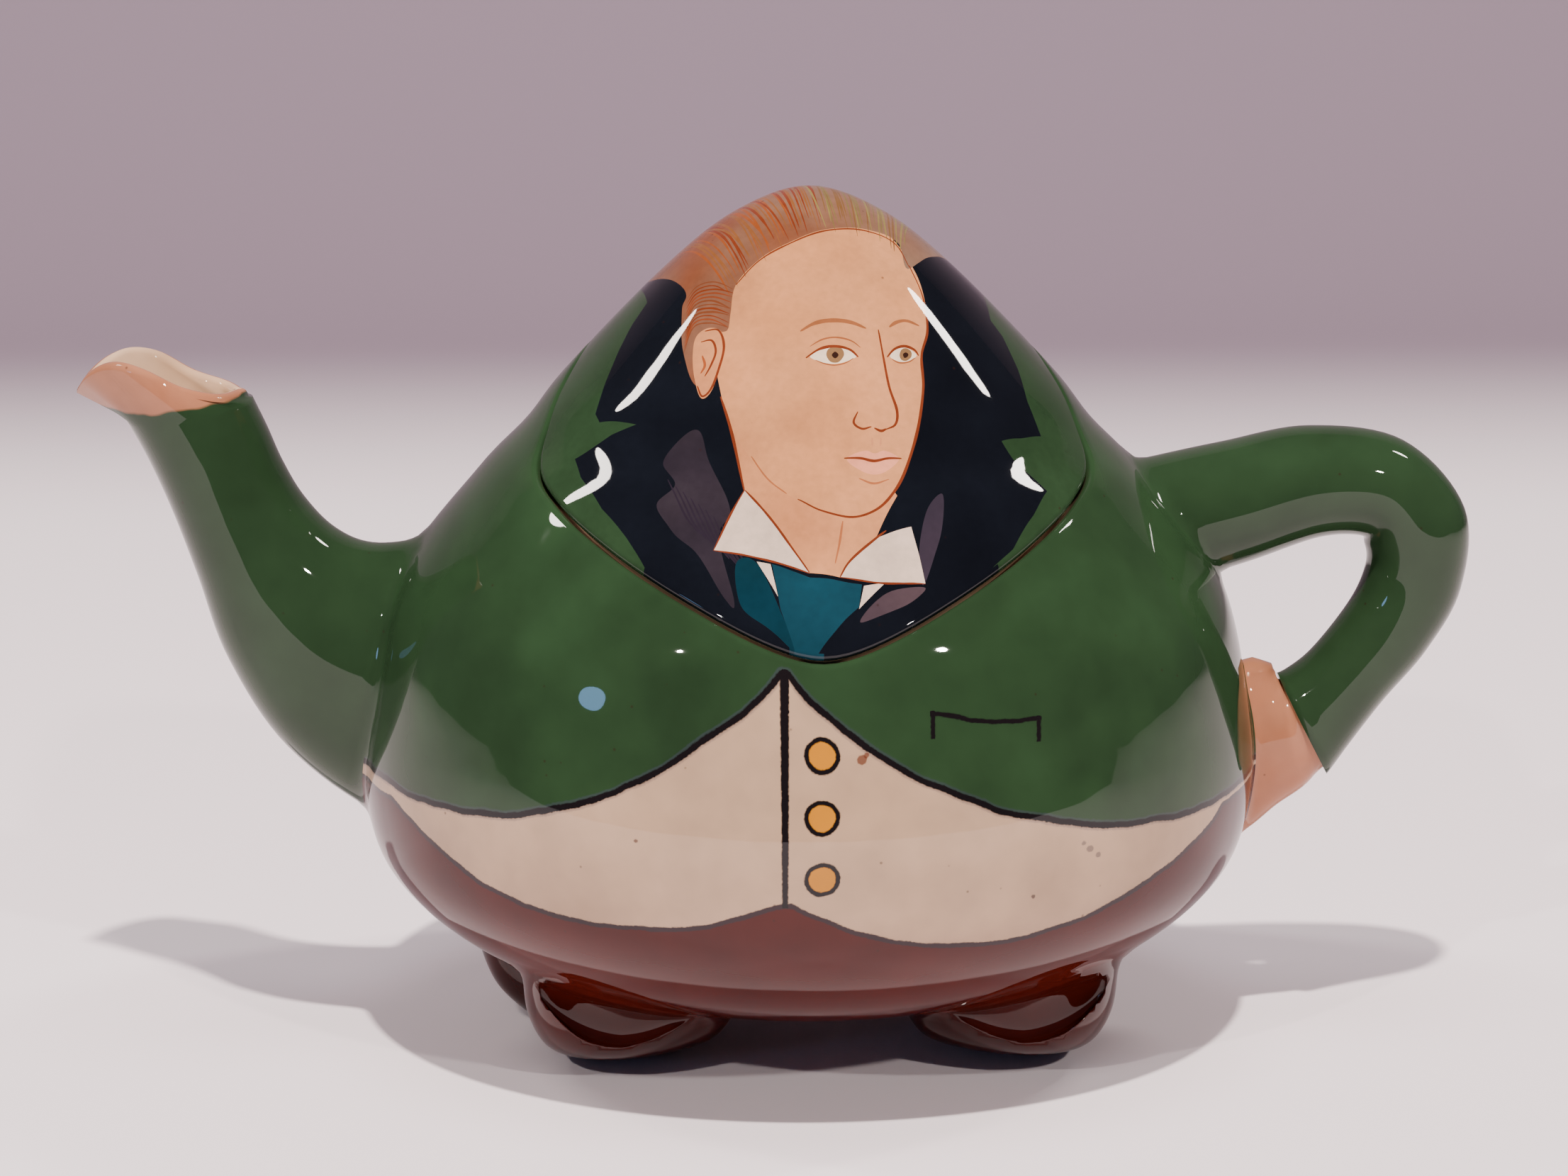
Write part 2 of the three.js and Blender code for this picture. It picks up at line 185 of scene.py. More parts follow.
def rings_to_mesh(name, rings, first_pole, last_pole, tags=None):
    """A closed skin over a stack of rings, with a fan at each end. Each ring's tag is the
    material index of the faces above it."""
    sides = len(rings[0])
    points = [point for ring in rings for point in ring] + [first_pole, last_pole]
    first = len(rings) * sides
    last = first + 1
    faces = []
    indices = []
    for row in range(-1, len(rings)):
        tag = tags[min(max(row, 0), len(tags) - 1)] if tags else 0
        for side in range(sides):
            following = (side + 1) % sides
            if row < 0:
                faces.append((first, following, side))
            elif row == len(rings) - 1:
                faces.append((last, row * sides + side, row * sides + following))
            else:
                here = row * sides
                above = here + sides
                faces.append((here + side, here + following, above + following, above + side))
            indices.append(tag)
    mesh = bpy.data.meshes.new(name)
    mesh.from_pydata(points, [], faces)
    mesh.polygons.foreach_set("material_index", indices)
    built = bmesh.new()
    built.from_mesh(mesh)
    if built.calc_volume(signed=True) < 0:
        bmesh.ops.reverse_faces(built, faces=built.faces)
    built.to_mesh(mesh)
    built.free()
    return mesh


def middle_of(ring):
    return sum((Vector(point) for point in ring), Vector()) / len(ring)


BODY_SIDES = 224
ROW_SPACING = 26             # outline steps between the rings of the belly
coat, inside, sleeve, skin, leather = range(5)
belt_height = 0.88 * SEAM_FRONT
belt_step = place_where(belt_height, 1, 0, OUTLINE_STEPS)
low_steps = [place_where(outline_at(2)[1], 1, 0, OUTLINE_STEPS)]
while low_steps[-1] < belt_step - ROW_SPACING:
    low_steps.append(low_steps[-1] + ROW_SPACING)


def shell_rings(depth, drop, rows, angles, steps):
    rings = []
    for step in list(steps) + [belt_step]:
        ring = []
        for angle in angles:
            point, outward = skin_frame(angle, step)
            ring.append(point - outward * depth)
        rings.append(ring)
    for row in range(1, rows + 1):
        ring = []
        for angle in angles:
            top = seam_height(angle) - drop
            height = belt_height + (top - belt_height) * row / rows
            ring.append(skin_at_height(angle, height, depth)[0])
        rings.append(ring)
    return rings


def seam_ring(depth, drop, angles):
    return [skin_at_height(angle, seam_height(angle) - drop, depth)[0] for angle in angles]


body_angles = ring_angles(BODY_SIDES)
outer_rings = shell_rings(0.0, EDGE_ROUND, 26, body_angles, low_steps)
land_rings = [
    seam_ring(EDGE_ROUND * (1 - math.cos(turn)), EDGE_ROUND * (1 - math.sin(turn)), body_angles)
    for turn in (math.pi / 8, math.pi / 4, 3 * math.pi / 8, math.pi / 2)
] + [seam_ring(WALL - EDGE_ROUND, 0.0, body_angles)]
inner_rings = shell_rings(WALL, EDGE_ROUND, 6, body_angles, low_steps[14::5])
underside = Vector((BODY_AXIS_X, 0.0, outline_at(OUTLINE_START)[1]))
shell_tags = [coat] * (len(outer_rings) + 4) + [inside] * (len(inner_rings) + 1)
body_mesh = rings_to_mesh(
    "body", outer_rings + land_rings + inner_rings[::-1],
    underside, underside + Vector((0, 0, FLOOR_THICKNESS)), shell_tags,
)
core_rings = shell_rings(WALL / 2, 0.0, 6, ring_angles(64), low_steps[::5])
core_mesh = rings_to_mesh(
    "core", core_rings, Vector((BODY_AXIS_X, 0, core_rings[0][0].z)),
    Vector((BODY_AXIS_X, 0, SEAM_BACK - WALL)),
)


# The spout: the man's right arm, cast with the pot as a hollow sleeve. Its end is his cupped
# hand, whose two edges rise and meet in a pouring lip.
SPOUT_TOP = 0.1026
SPOUT_WALL = 0.0032
LIP_WALL = 0.0022
SPOUT_SIDES = 72
STRAINER_HOLE = 0.005
STRAINER_PITCH = 0.008
SPOUT_SECTIONS = [
    (0.436, 0.746, 0.464, 0.322, 0.114), (0.526, 0.733, 0.597, 0.333, 0.112),
    (0.602, 0.727, 0.725, 0.432, 0.106), (0.653, 0.749, 0.804, 0.563, 0.099),
    (0.694, 0.794, 0.843, 0.685, 0.092), (0.722, 0.845, 0.874, 0.777, 0.088),
    (0.742, 0.895, 0.904, 0.851, 0.087), (0.761, 0.938, 0.933, 0.909, 0.086),
]
SPOUT_RIM = [
    (0.767, 0, 0.951), (0.795, 0.060, 0.953), (0.843, 0.078, 0.966), (0.892, 0.086, 0.991),
    (0.932, 0.070, 1), (0.962, 0.044, 0.994), (0.985, 0.022, 0.978), (1, 0, 0.957),
]


def limb_rings(sections, inset, sides, steps):
    """Oval rings across a limb. A section is its upper and lower edge seen from the front,
    as x and z from the body's axis, and its half thickness."""
    rings = []
    for count in range((len(sections) - 1) * steps + 1):
        upper_x, upper_z, lower_x, lower_z, half = smooth_through(sections, count / steps)
        upper = Vector((BODY_AXIS_X + upper_x, 0, upper_z))
        lower = Vector((BODY_AXIS_X + lower_x, 0, lower_z))
        middle = (upper + lower) / 2
        across = (upper - middle).normalized() * ((upper - middle).length - inset)
        rings.append([
            middle + across * math.cos(angle) + Vector((0, (half - inset) * math.sin(angle), 0))
            for angle in ring_angles(sides)
        ])
    return rings


def rim_ring(inset, drop):
    ring = []
    for angle in ring_angles(SPOUT_SIDES):
        share = abs(angle) / math.pi
        x, y, z = smooth_through(SPOUT_RIM, share * (len(SPOUT_RIM) - 1))
        inward = Vector((math.sin((share - 0.5) * math.pi), 1.0)).normalized()
        side = math.copysign(max(y * SPOUT_REACH - inset * inward.y, 0.0), math.sin(angle))
        ring.append(Vector((
            BODY_AXIS_X - x * SPOUT_REACH + inset * inward.x, side, z * SPOUT_TOP - drop,
        )))
    return ring


spout_sections = [
    (-ux * SPOUT_REACH, uz * SPOUT_TOP, -lx * SPOUT_REACH, lz * SPOUT_TOP, half * SPOUT_REACH)
    for ux, uz, lx, lz, half in SPOUT_SECTIONS
]
lip_half = LIP_WALL / 2
lip_rings = [
    rim_ring(lip_half * (1 - math.cos(turn)), lip_half * (1 - math.sin(turn)))
    for turn in [math.pi * step / 8 for step in range(9)]
]
spout_outer = limb_rings(spout_sections, 0.0, SPOUT_SIDES, 8)
spout_bore = limb_rings(spout_sections, SPOUT_WALL, SPOUT_SIDES, 4)[::-1]
spout_rings = spout_outer + lip_rings + spout_bore
spout_tags = [sleeve] * (len(spout_outer) + 4) + [inside] * (len(spout_rings) - len(spout_outer) - 4)
spout_mesh = rings_to_mesh(
    "spout", spout_rings, middle_of(spout_rings[0]), middle_of(spout_rings[-1]), spout_tags,
)


# The handle: his left arm, a solid roll of clay bent from the shoulder to the hip and stuck on
# with slip. The flat hand with its thumb is pressed against the side of the body.
HANDLE_REACH = 0.0965
HANDLE_THICKNESS = 0.015
ARM_LINE = [
    (0.430, 0.765, 1.36), (0.540, 0.800, 1.27), (0.650, 0.829, 1.20), (0.765, 0.858, 1.10),
    (0.868, 0.848, 1.02), (0.921, 0.789, 1.03), (0.922, 0.711, 0.96), (0.886, 0.634, 0.90),
    (0.822, 0.552, 0.87),
]
CUFF = (0.797, 0.401, 0.719, 0.555, 0.43)
PALM = [
    (0.741, 0.539, 0.798, 0.430, 0.35), (0.711, 0.547, 0.767, 0.385, 0.37),
    (0.689, 0.554, 0.720, 0.350, 0.37), (0.663, 0.560, 0.679, 0.315, 0.36),
    (0.627, 0.565, 0.627, 0.286, 0.35), (0.560, 0.560, 0.560, 0.285, 0.33),
]
THUMB = [
    (0.648, 0.456, 0.720, 0.472, 0.21), (0.653, 0.528, 0.717, 0.539, 0.23),
    (0.657, 0.570, 0.709, 0.574, 0.19),
]
arm_sections = []
for index, (x, z, thickness) in enumerate(ARM_LINE):
    before, after = ARM_LINE[max(index - 1, 0)], ARM_LINE[min(index + 1, len(ARM_LINE) - 1)]
    along = Vector((after[0] - before[0], after[1] - before[1])).normalized()
    half = thickness * HANDLE_THICKNESS / 2
    arm_sections.append((
        x * HANDLE_REACH - along.y * half, z * HANDLE_REACH + along.x * half,
        x * HANDLE_REACH + along.y * half, z * HANDLE_REACH - along.x * half, half,
    ))


def hand_sections(shares):
    return [
        (ux * HANDLE_REACH, uz * HANDLE_REACH, lx * HANDLE_REACH, lz * HANDLE_REACH,
         half * HANDLE_THICKNESS)
        for ux, uz, lx, lz, half in shares
    ]


def limb_mesh(name, sections, sides, steps, tag, tip=Vector((0, 0, 0))):
    rings = limb_rings(sections, 0.0, sides, steps)
    return rings_to_mesh(
        name, rings, middle_of(rings[0]), middle_of(rings[-1]) + tip, [tag] * len(rings),
    )


arm_sections += hand_sections([CUFF])
arm_mesh = limb_mesh("arm", arm_sections, 64, 9, sleeve)
palm_mesh = limb_mesh("palm", hand_sections(PALM), 48, 6, skin)
thumb_mesh = limb_mesh("thumb", hand_sections(THUMB), 32, 6, skin, Vector((-0.0004, 0, 0.0012)))


# The feet: four lobes pressed out of the clay under the body. The front two are his shoes, each
# with an almond hollow in the toe that the dark glaze runs into. The back two are plain.
SHOE_SPREAD = 0.0293
SHOE_SHIFT = 0.001
REAR_SPREAD = 0.034
SHOE_HALF = 0.0135
FOOT_HALF = 0.016
SHOE_FORWARD = 0.020
REAR_BACK = 0.020
RECESS_HALF_DEPTH = 0.003
RECESS_HALF_LENGTH = 0.94 * SHOE_HALF
RECESS_HALF_HEIGHT = 0.41 * FOOT_HALF
RECESS_BEND = 0.336 * SHOE_HALF       # how far its ends curl back round the toe
RECESS_INWARDS = 0.1 * SHOE_HALF
RECESS_FORWARD = SHOE_FORWARD + 0.76 * FOOT_HALF
RECESS_LEVEL = 0.1 * POT_HEIGHT
RECESS_TILT = math.radians(8)
RECESS_LEAN = math.radians(30)
FOOT_LEVELS = [
    (0, 0.40, 0.27, -0.75), (0.0035, 0.50, 0.37, -0.69), (0.011, 0.62, 0.50, -0.60),
    (0.035, 0.84, 0.76, -0.38), (0.075, 0.98, 0.90, -0.20), (0.120, 1.02, 0.97, -0.12),
    (0.165, 1.03, 1.00, -0.06), (0.210, 1.00, 0.98, -0.06),
]


def foot_mesh(side, facing):
    spread, half, shift, forward = (
        (SHOE_SPREAD, SHOE_HALF, SHOE_SHIFT, SHOE_FORWARD) if facing < 0
        else (REAR_SPREAD, FOOT_HALF, 0.0, REAR_BACK)
    )
    rings = []
    for count in range((len(FOOT_LEVELS) - 1) * 5 + 1):
        height, length, width, lean = smooth_through(FOOT_LEVELS, count / 5)
        ring = []
        for angle in ring_angles(72):
            inner = max(0.0, -math.cos(angle))
            across, out = [
                math.copysign(abs(share) ** 0.8, share)
                for share in (math.cos(angle), math.sin(angle))
            ]
            x = side * (spread + length * half * across * (1 + 0.3 * inner)) + shift
            reach = width * out * (1 - 0.3 * inner)
            y = forward + (lean + reach) * FOOT_HALF
            ring.append(Vector((BODY_AXIS_X + x, facing * y, height * POT_HEIGHT)))
        rings.append(ring)
    return rings_to_mesh(
        "foot", rings, middle_of(rings[0]), middle_of(rings[-1]), [leather] * len(rings),
    )


def recess_mesh(side):
    """The almond cutter: blunt on the outside, pointed towards the middle of the pot."""
    rings = []
    for count in range(1, 40):
        along = -math.cos(math.pi * count / 40)
        girth = math.sqrt(1 - along * along)
        pinch = (1 - along) ** 0.3 if along > 0 else 1.0
        ring = []
        for angle in ring_angles(48):
            point = Vector((
                along * RECESS_HALF_LENGTH,
                girth * RECESS_HALF_DEPTH * math.sin(angle) + RECESS_BEND * along * along,
                girth * RECESS_HALF_HEIGHT * pinch * math.cos(angle),
            ))
            ring.append(point)
        rings.append(ring)
    poles = [Vector((end * RECESS_HALF_LENGTH, RECESS_BEND, 0)) for end in (-1, 1)]
    turn = Matrix.Rotation(RECESS_LEAN, 3, "X") @ Matrix.Rotation(RECESS_TILT, 3, "Y")

    def placed(point):
        turned = turn @ point
        across = side * (SHOE_SPREAD - turned.x - RECESS_INWARDS) + SHOE_SHIFT
        return Vector((BODY_AXIS_X + across, turned.y - RECESS_FORWARD, turned.z + RECESS_LEVEL))

    rings = [[placed(point) for point in ring] for ring in rings]
    return rings_to_mesh(
        "recess", rings, placed(poles[0]), placed(poles[1]), [leather] * len(rings),
    )


# Putting the pot together: the limbs are trimmed where they enter the wall, joined to the shell
# and faired into it with a narrow fillet, as a potter's wet finger does.
FILLET = 0.0022


def as_object(mesh):
    obj = bpy.data.objects.new(mesh.name, mesh)
    bpy.context.scene.collection.objects.link(obj)
    return obj


def carve(obj, mesh, operation, crossing=False):
    """Join or cut obj with another mesh, which is used up."""
    other = as_object(mesh)
    step = obj.modifiers.new("carve", "BOOLEAN")
    step.operation = operation
    step.solver = "EXACT"
    step.use_self = crossing
    step.object = other
    graph = bpy.context.evaluated_depsgraph_get()
    result = bpy.data.meshes.new_from_object(obj.evaluated_get(graph))
    obj.modifiers.clear()
    obj.data = result
    bpy.data.objects.remove(other)


def cylinder_mesh(y, z):
    middle_x = BODY_AXIS_X - BELLY_RADIUS + WALL
    rings = [
        [Vector((middle_x + end * WALL * 1.5, y + STRAINER_HOLE / 2 * math.cos(angle),
                 z + STRAINER_HOLE / 2 * math.sin(angle))) for angle in ring_angles(24)]
        for end in (-1, 1)
    ]
    return rings_to_mesh("hole", rings, middle_of(rings[0]), middle_of(rings[1]), [inside] * 2)


limb_sources = [spout_mesh, arm_mesh, palm_mesh, thumb_mesh]
for facing in (-1, 1):
    for side in (-1, 1):
        foot = as_object(foot_mesh(side, facing))
        if facing < 0:
            carve(foot, recess_mesh(side), "DIFFERENCE")
        limb_sources.append(foot.data)
        bpy.data.objects.remove(foot)

for material_name in ("coat", "inside", "sleeve", "skin", "leather"):
    slot_holder = bpy.data.materials.new(material_name)
    for mesh in [body_mesh, core_mesh] + limb_sources:
        mesh.materials.append(slot_holder)

source_trees = []
for mesh in [body_mesh] + limb_sources:
    mesh.calc_loop_triangles()
    source_trees.append(BVHTree.FromPolygons(
        [vertex.co for vertex in mesh.vertices],
        [tuple(triangle.vertices) for triangle in mesh.loop_triangles],
    ))

pot = as_object(body_mesh.copy())
pot.name = "pot_glazed"
for mesh in limb_sources:
    limb = as_object(mesh.copy())
    carve(limb, core_mesh.copy(), "DIFFERENCE", mesh == spout_mesh)
    carve(pot, limb.data.copy(), "UNION")
    bpy.data.objects.remove(limb)
strainer_z = 0.535 * SPOUT_TOP
for y, z in [(0, 0)] + [
    (STRAINER_PITCH * math.cos(math.pi * hole / 3), STRAINER_PITCH * math.sin(math.pi * hole / 3))
    for hole in range(6)
]:
    carve(pot, cylinder_mesh(y, strainer_z + z), "DIFFERENCE")


def surface_near(mesh, tree, point, reach):
    """Distance to a source surface and its smooth direction there."""
    spot, _, index, distance = tree.find_nearest(point, reach)
    if spot is None:
        return None
    corners = mesh.loop_triangles[index].vertices
    a, b, c = (mesh.vertices[corner].co for corner in corners)
    across = (b - a).cross(c - a)
    area = across.length_squared or 1.0
    share_c = (b - a).cross(spot - a).dot(across) / area
    share_b = (spot - a).cross(c - a).dot(across) / area
    shares = (1 - share_b - share_c, share_b, share_c)
    direction = sum((mesh.vertices[corner].normal * share
                     for corner, share in zip(corners, shares)), Vector())
    return distance, direction.normalized()


def fair(obj, sources):
    """Round the creases where the sources meet, and shade each point by what it lies on."""
    smooth = []
    for vertex in obj.data.vertices:
        point = vertex.co.copy()
        found = []
        for mesh, tree in sources:
            near = surface_near(mesh, tree, point, FILLET)
            if near:
                found.append(near)
        if not found:
            smooth.append(vertex.normal.copy())
            continue
        direction = sum((normal * math.exp(-(2.2 * distance / FILLET) ** 2)
                         for distance, normal in found), Vector())
        direction = direction.normalized() if direction.length > 1e-6 else found[0][1]
        if len(found) > 1:
            second = sorted(distance for distance, normal in found)[1]
            vertex.co = point + direction * FILLET / 4 * (1 - second / FILLET) ** 2
        smooth.append(direction)
    obj.data.normals_split_custom_set_from_vertices(smooth)


fair(pot, list(zip([body_mesh] + limb_sources, source_trees)))


# The glaze: oxide colours painted on the fired clay and covered by a clear lead glaze, which is
# smooth and very glossy. It lies in faint waves that bend the lamps' reflections, and holds a few
# fine specks of iron. The colour under it drifts a little, as brushed oxide does.
GLAZE_IOR = 1.43
GREEN = "#213420"
GREEN_THIN = "#283f27"
GREEN_SLEEVE = "#273c26"
CREAM = "#b3967d"
BROWN = "#3c0d07"
FLESH = "#a66f54"
OCHRE = "#b8781c"
LINE = "#141012"
SPECK = "#2a1710"
DRIFT_MM = 9.09
WAVE_MM = 14.29
WAVE_DEPTH = 0.0006
SPECK_SPACING_MM = 2.381
SPECK_SHARE = 0.14


def linear(code):
    """An sRGB hex colour as linear red, green, blue and alpha."""
    parts = [int(code[i:i + 2], 16) / 255 for i in (1, 3, 5)]
    return tuple(
        part / 12.92 if part <= 0.04045 else ((part + 0.055) / 1.055) ** 2.4 for part in parts
    ) + (1.0,)


def add(tree, kind, sockets=(), **settings):
    """Add a node with its settings, and give sockets, by name or number, a value or a link.
    A node that is given as a value is linked from its first output in use."""
    node = tree.nodes.new("ShaderNode" + kind)
    for name, value in settings.items():
        setattr(node, name, value)
    for name, value in sockets.items() if isinstance(sockets, dict) else enumerate(sockets):
        if isinstance(value, bpy.types.Node):
            value = next(output for output in value.outputs if output.enabled)
        if isinstance(value, bpy.types.NodeSocket):
            tree.links.new(value, node.inputs[name])
        else:
            node.inputs[name].default_value = value
    return node


def glazed(name, paint):
    """Painted earthenware under clear glaze. paint(tree, place) gives the colour."""
    material = bpy.data.materials.new(name)
    material.use_nodes = True
    tree = material.node_tree
    tree.nodes.clear()
    place = add(tree, "TexCoord").outputs["Object"]
    colour = paint(tree, place)
    cloud = add(tree, "TexNoise", {"Vector": place, "Scale": 1000 / DRIFT_MM, "Detail": 3.0})
    drift = add(tree, "MapRange", [cloud, 0.25, 0.75, 0.86, 1.14])
    toned = add(tree, "HueSaturation", {"Color": colour, "Value": drift})
    specks = add(tree, "TexVoronoi", {"Vector": place, "Scale": 1000 / SPECK_SPACING_MM})
    speck = add(tree, "MapRange", [specks.outputs["Distance"], 0.05, 0.11, 1.0, 0.0])
    chance = add(tree, "SeparateColor", [specks.outputs["Color"]])
    rare = add(tree, "Math", [chance, 1 - SPECK_SHARE], operation="GREATER_THAN")
    amount = add(tree, "Math", [speck, rare], operation="MULTIPLY")
    faint = add(tree, "Math", [amount, 0.55], operation="MULTIPLY")
    specked = add(tree, "Mix", {"Factor": faint, 6: toned, 7: linear(SPECK)}, data_type="RGBA")
    swell = add(tree, "TexNoise", {"Vector": place, "Scale": 1000 / WAVE_MM, "Detail": 2.0})
    bump = add(tree, "Bump", {"Strength": 0.10, "Distance": WAVE_DEPTH, "Height": swell})
    shader = add(tree, "BsdfPrincipled", {
        "Base Color": specked, "Roughness": 0.22, "IOR": GLAZE_IOR, "Specular IOR Level": 0.0,
        "Coat Weight": 0.8, "Coat Roughness": 0.025, "Coat IOR": GLAZE_IOR, "Coat Normal": bump,
    })
    add(tree, "OutputMaterial", {"Surface": shader})
    return material


def brushed(code, second, size_mm):
    """One colour that drifts softly towards a second, as brushed oxide does."""
    def paint(tree, place):
        cloud = add(tree, "TexNoise", {"Vector": place, "Scale": 1000 / size_mm, "Detail": 4.0})
        share = add(tree, "MapRange", [cloud, 0.35, 0.70])
        return add(tree, "Mix", {"Factor": share, 6: linear(code), 7: linear(second)},
                   data_type="RGBA")
    return paint


# What is painted on the body: the open coat with a black edge, the cream waistcoat with its
# opening and three brass buttons, a pocket, and the trousers. Lines are given as they are seen,
# in millimetres on a plane through the pot's middle that faces the view.
SEEN_MIDDLE = (-3.6, 65.6)
SEARCH_REACH = 0.08          # metres before and behind the view's target
SEARCH_STEP = 0.001
HEM_LEFT = [(-3.8, 53.2), (-9.3, 47.5), (-14.9, 43.6), (-21.8, 38.9), (-28.7, 35.6), (-36.4, 33.5),
            (-45.0, 32.4), (-51.9, 33.3), (-57.9, 35.2), (-62.2, 38.0)]
HEM_RIGHT = [(-3.1, 53.2), (1.6, 47.8), (6.6, 43.8), (16.1, 37.8), (23.0, 35.0), (29.8, 32.6),
             (36.7, 31.4), (43.6, 30.9), (50.5, 31.6), (56.5, 33.1), (60.8, 35.5)]
WAIST_LEFT = [(-3.4, 19.1), (-6.3, 18.3), (-11.4, 16.8), (-18.3, 15.8), (-25.2, 15.8),
              (-32.1, 16.5), (-39.0, 18.3), (-45.9, 21.3), (-51.9, 25.4), (-57.9, 31.2),
              (-61.3, 35.0)]
WAIST_RIGHT = [(-2.4, 19.1), (2.3, 16.8), (8.3, 14.8), (15.2, 13.5), (22.1, 13.3), (29.0, 14.0),
               (36.7, 16.1), (44.5, 19.5), (52.2, 24.7), (57.4, 29.4), (60.8, 34.2)]
OPENING = [(-3.6, 52.6), (-3.4, 19.5)]
BUTTONS = [(2.0, 41.0), (2.0, 31.9), (2.0, 22.9)]
BUTTON_RADIUS = 2.45
BUTTON_RING = 0.65
POCKET = [(18.2, 47.2), (26.0, 46.2), (33.7, 46.6)]
POCKET_DEPTH = 3.4
LINE_HALF = 0.42
OPENING_HALF = (0.38, 0.62)  # half width of the opening's line, at its foot and its top
WOBBLE_MM = 6.25             # how the painter's hand wavers
RAGGED_MM = 0.4545           # grain of the clay along a brushed edge
BACK_HEM = 43.0
BACK_WAIST = 38.0
CHART_WIDTH = 140.0          # millimetres that a painted line's chart spans
CHART_HEIGHT = 80.0
# Iron spots and smudges in the cream: place, radius and colour
SMUDGES = [(7.8, 40.7, 0.65, "#5a2818"), (8.5, 41.3, 0.35, "#5a2818"),
           (-25.3, 28.6, 0.28, "#4a2a20"), (32.9, 20.5, 0.28, "#3a2a28"),
           (41.2, 27.5, 0.5, "#6a5a52"), (42.4, 26.6, 0.4, "#6a5a52"), (40.3, 28.3, 0.3, "#6a5a52")]


def seen_on_body(across, up):
    """The point of the body's outer surface that is seen at this place on the plane."""
    spot = VIEW_TARGET + (view_right * (across - SEEN_MIDDLE[0])
                          + view_up * (up - SEEN_MIDDLE[1])) / 1000
    ray = (spot - eye).normalized()

    def outside(length):
        point = eye + ray * length
        reach = math.hypot(point.x - BODY_AXIS_X, point.y / FLATTENING)
        if point.z >= POT_HEIGHT or point.z <= outline_steps[0][1]:
            return reach + 0.01
        return reach - outline_point(place_where(point.z, 1, 0, OUTLINE_STEPS))[0]

    lengths = [VIEW_DISTANCE - SEARCH_REACH + SEARCH_STEP * count
               for count in range(round(2 * SEARCH_REACH / SEARCH_STEP) + 1)]
    gaps = [outside(length) for length in lengths]
    for index in range(1, len(gaps)):
        if gaps[index] <= 0 < gaps[index - 1]:
            low, high = lengths[index - 1], lengths[index]
            for _ in range(20):
                middle = (low + high) / 2
                if outside(middle) > 0:
                    low = middle
                else:
                    high = middle
            return eye + ray * high
    closest = min(range(len(gaps)), key=lambda index: gaps[index])
    point = eye + ray * lengths[closest]
    radius = outline_point(place_where(point.z, 1, 0, OUTLINE_STEPS))[0]
    scale = radius / math.hypot(point.x - BODY_AXIS_X, point.y / FLATTENING)
    return Vector((BODY_AXIS_X + (point.x - BODY_AXIS_X) * scale, point.y * scale, point.z))


def in_mm(spot):
    """Distance from the body's axis and height of a point, in mm."""
    return (spot.x - BODY_AXIS_X) * 1000, spot.z * 1000


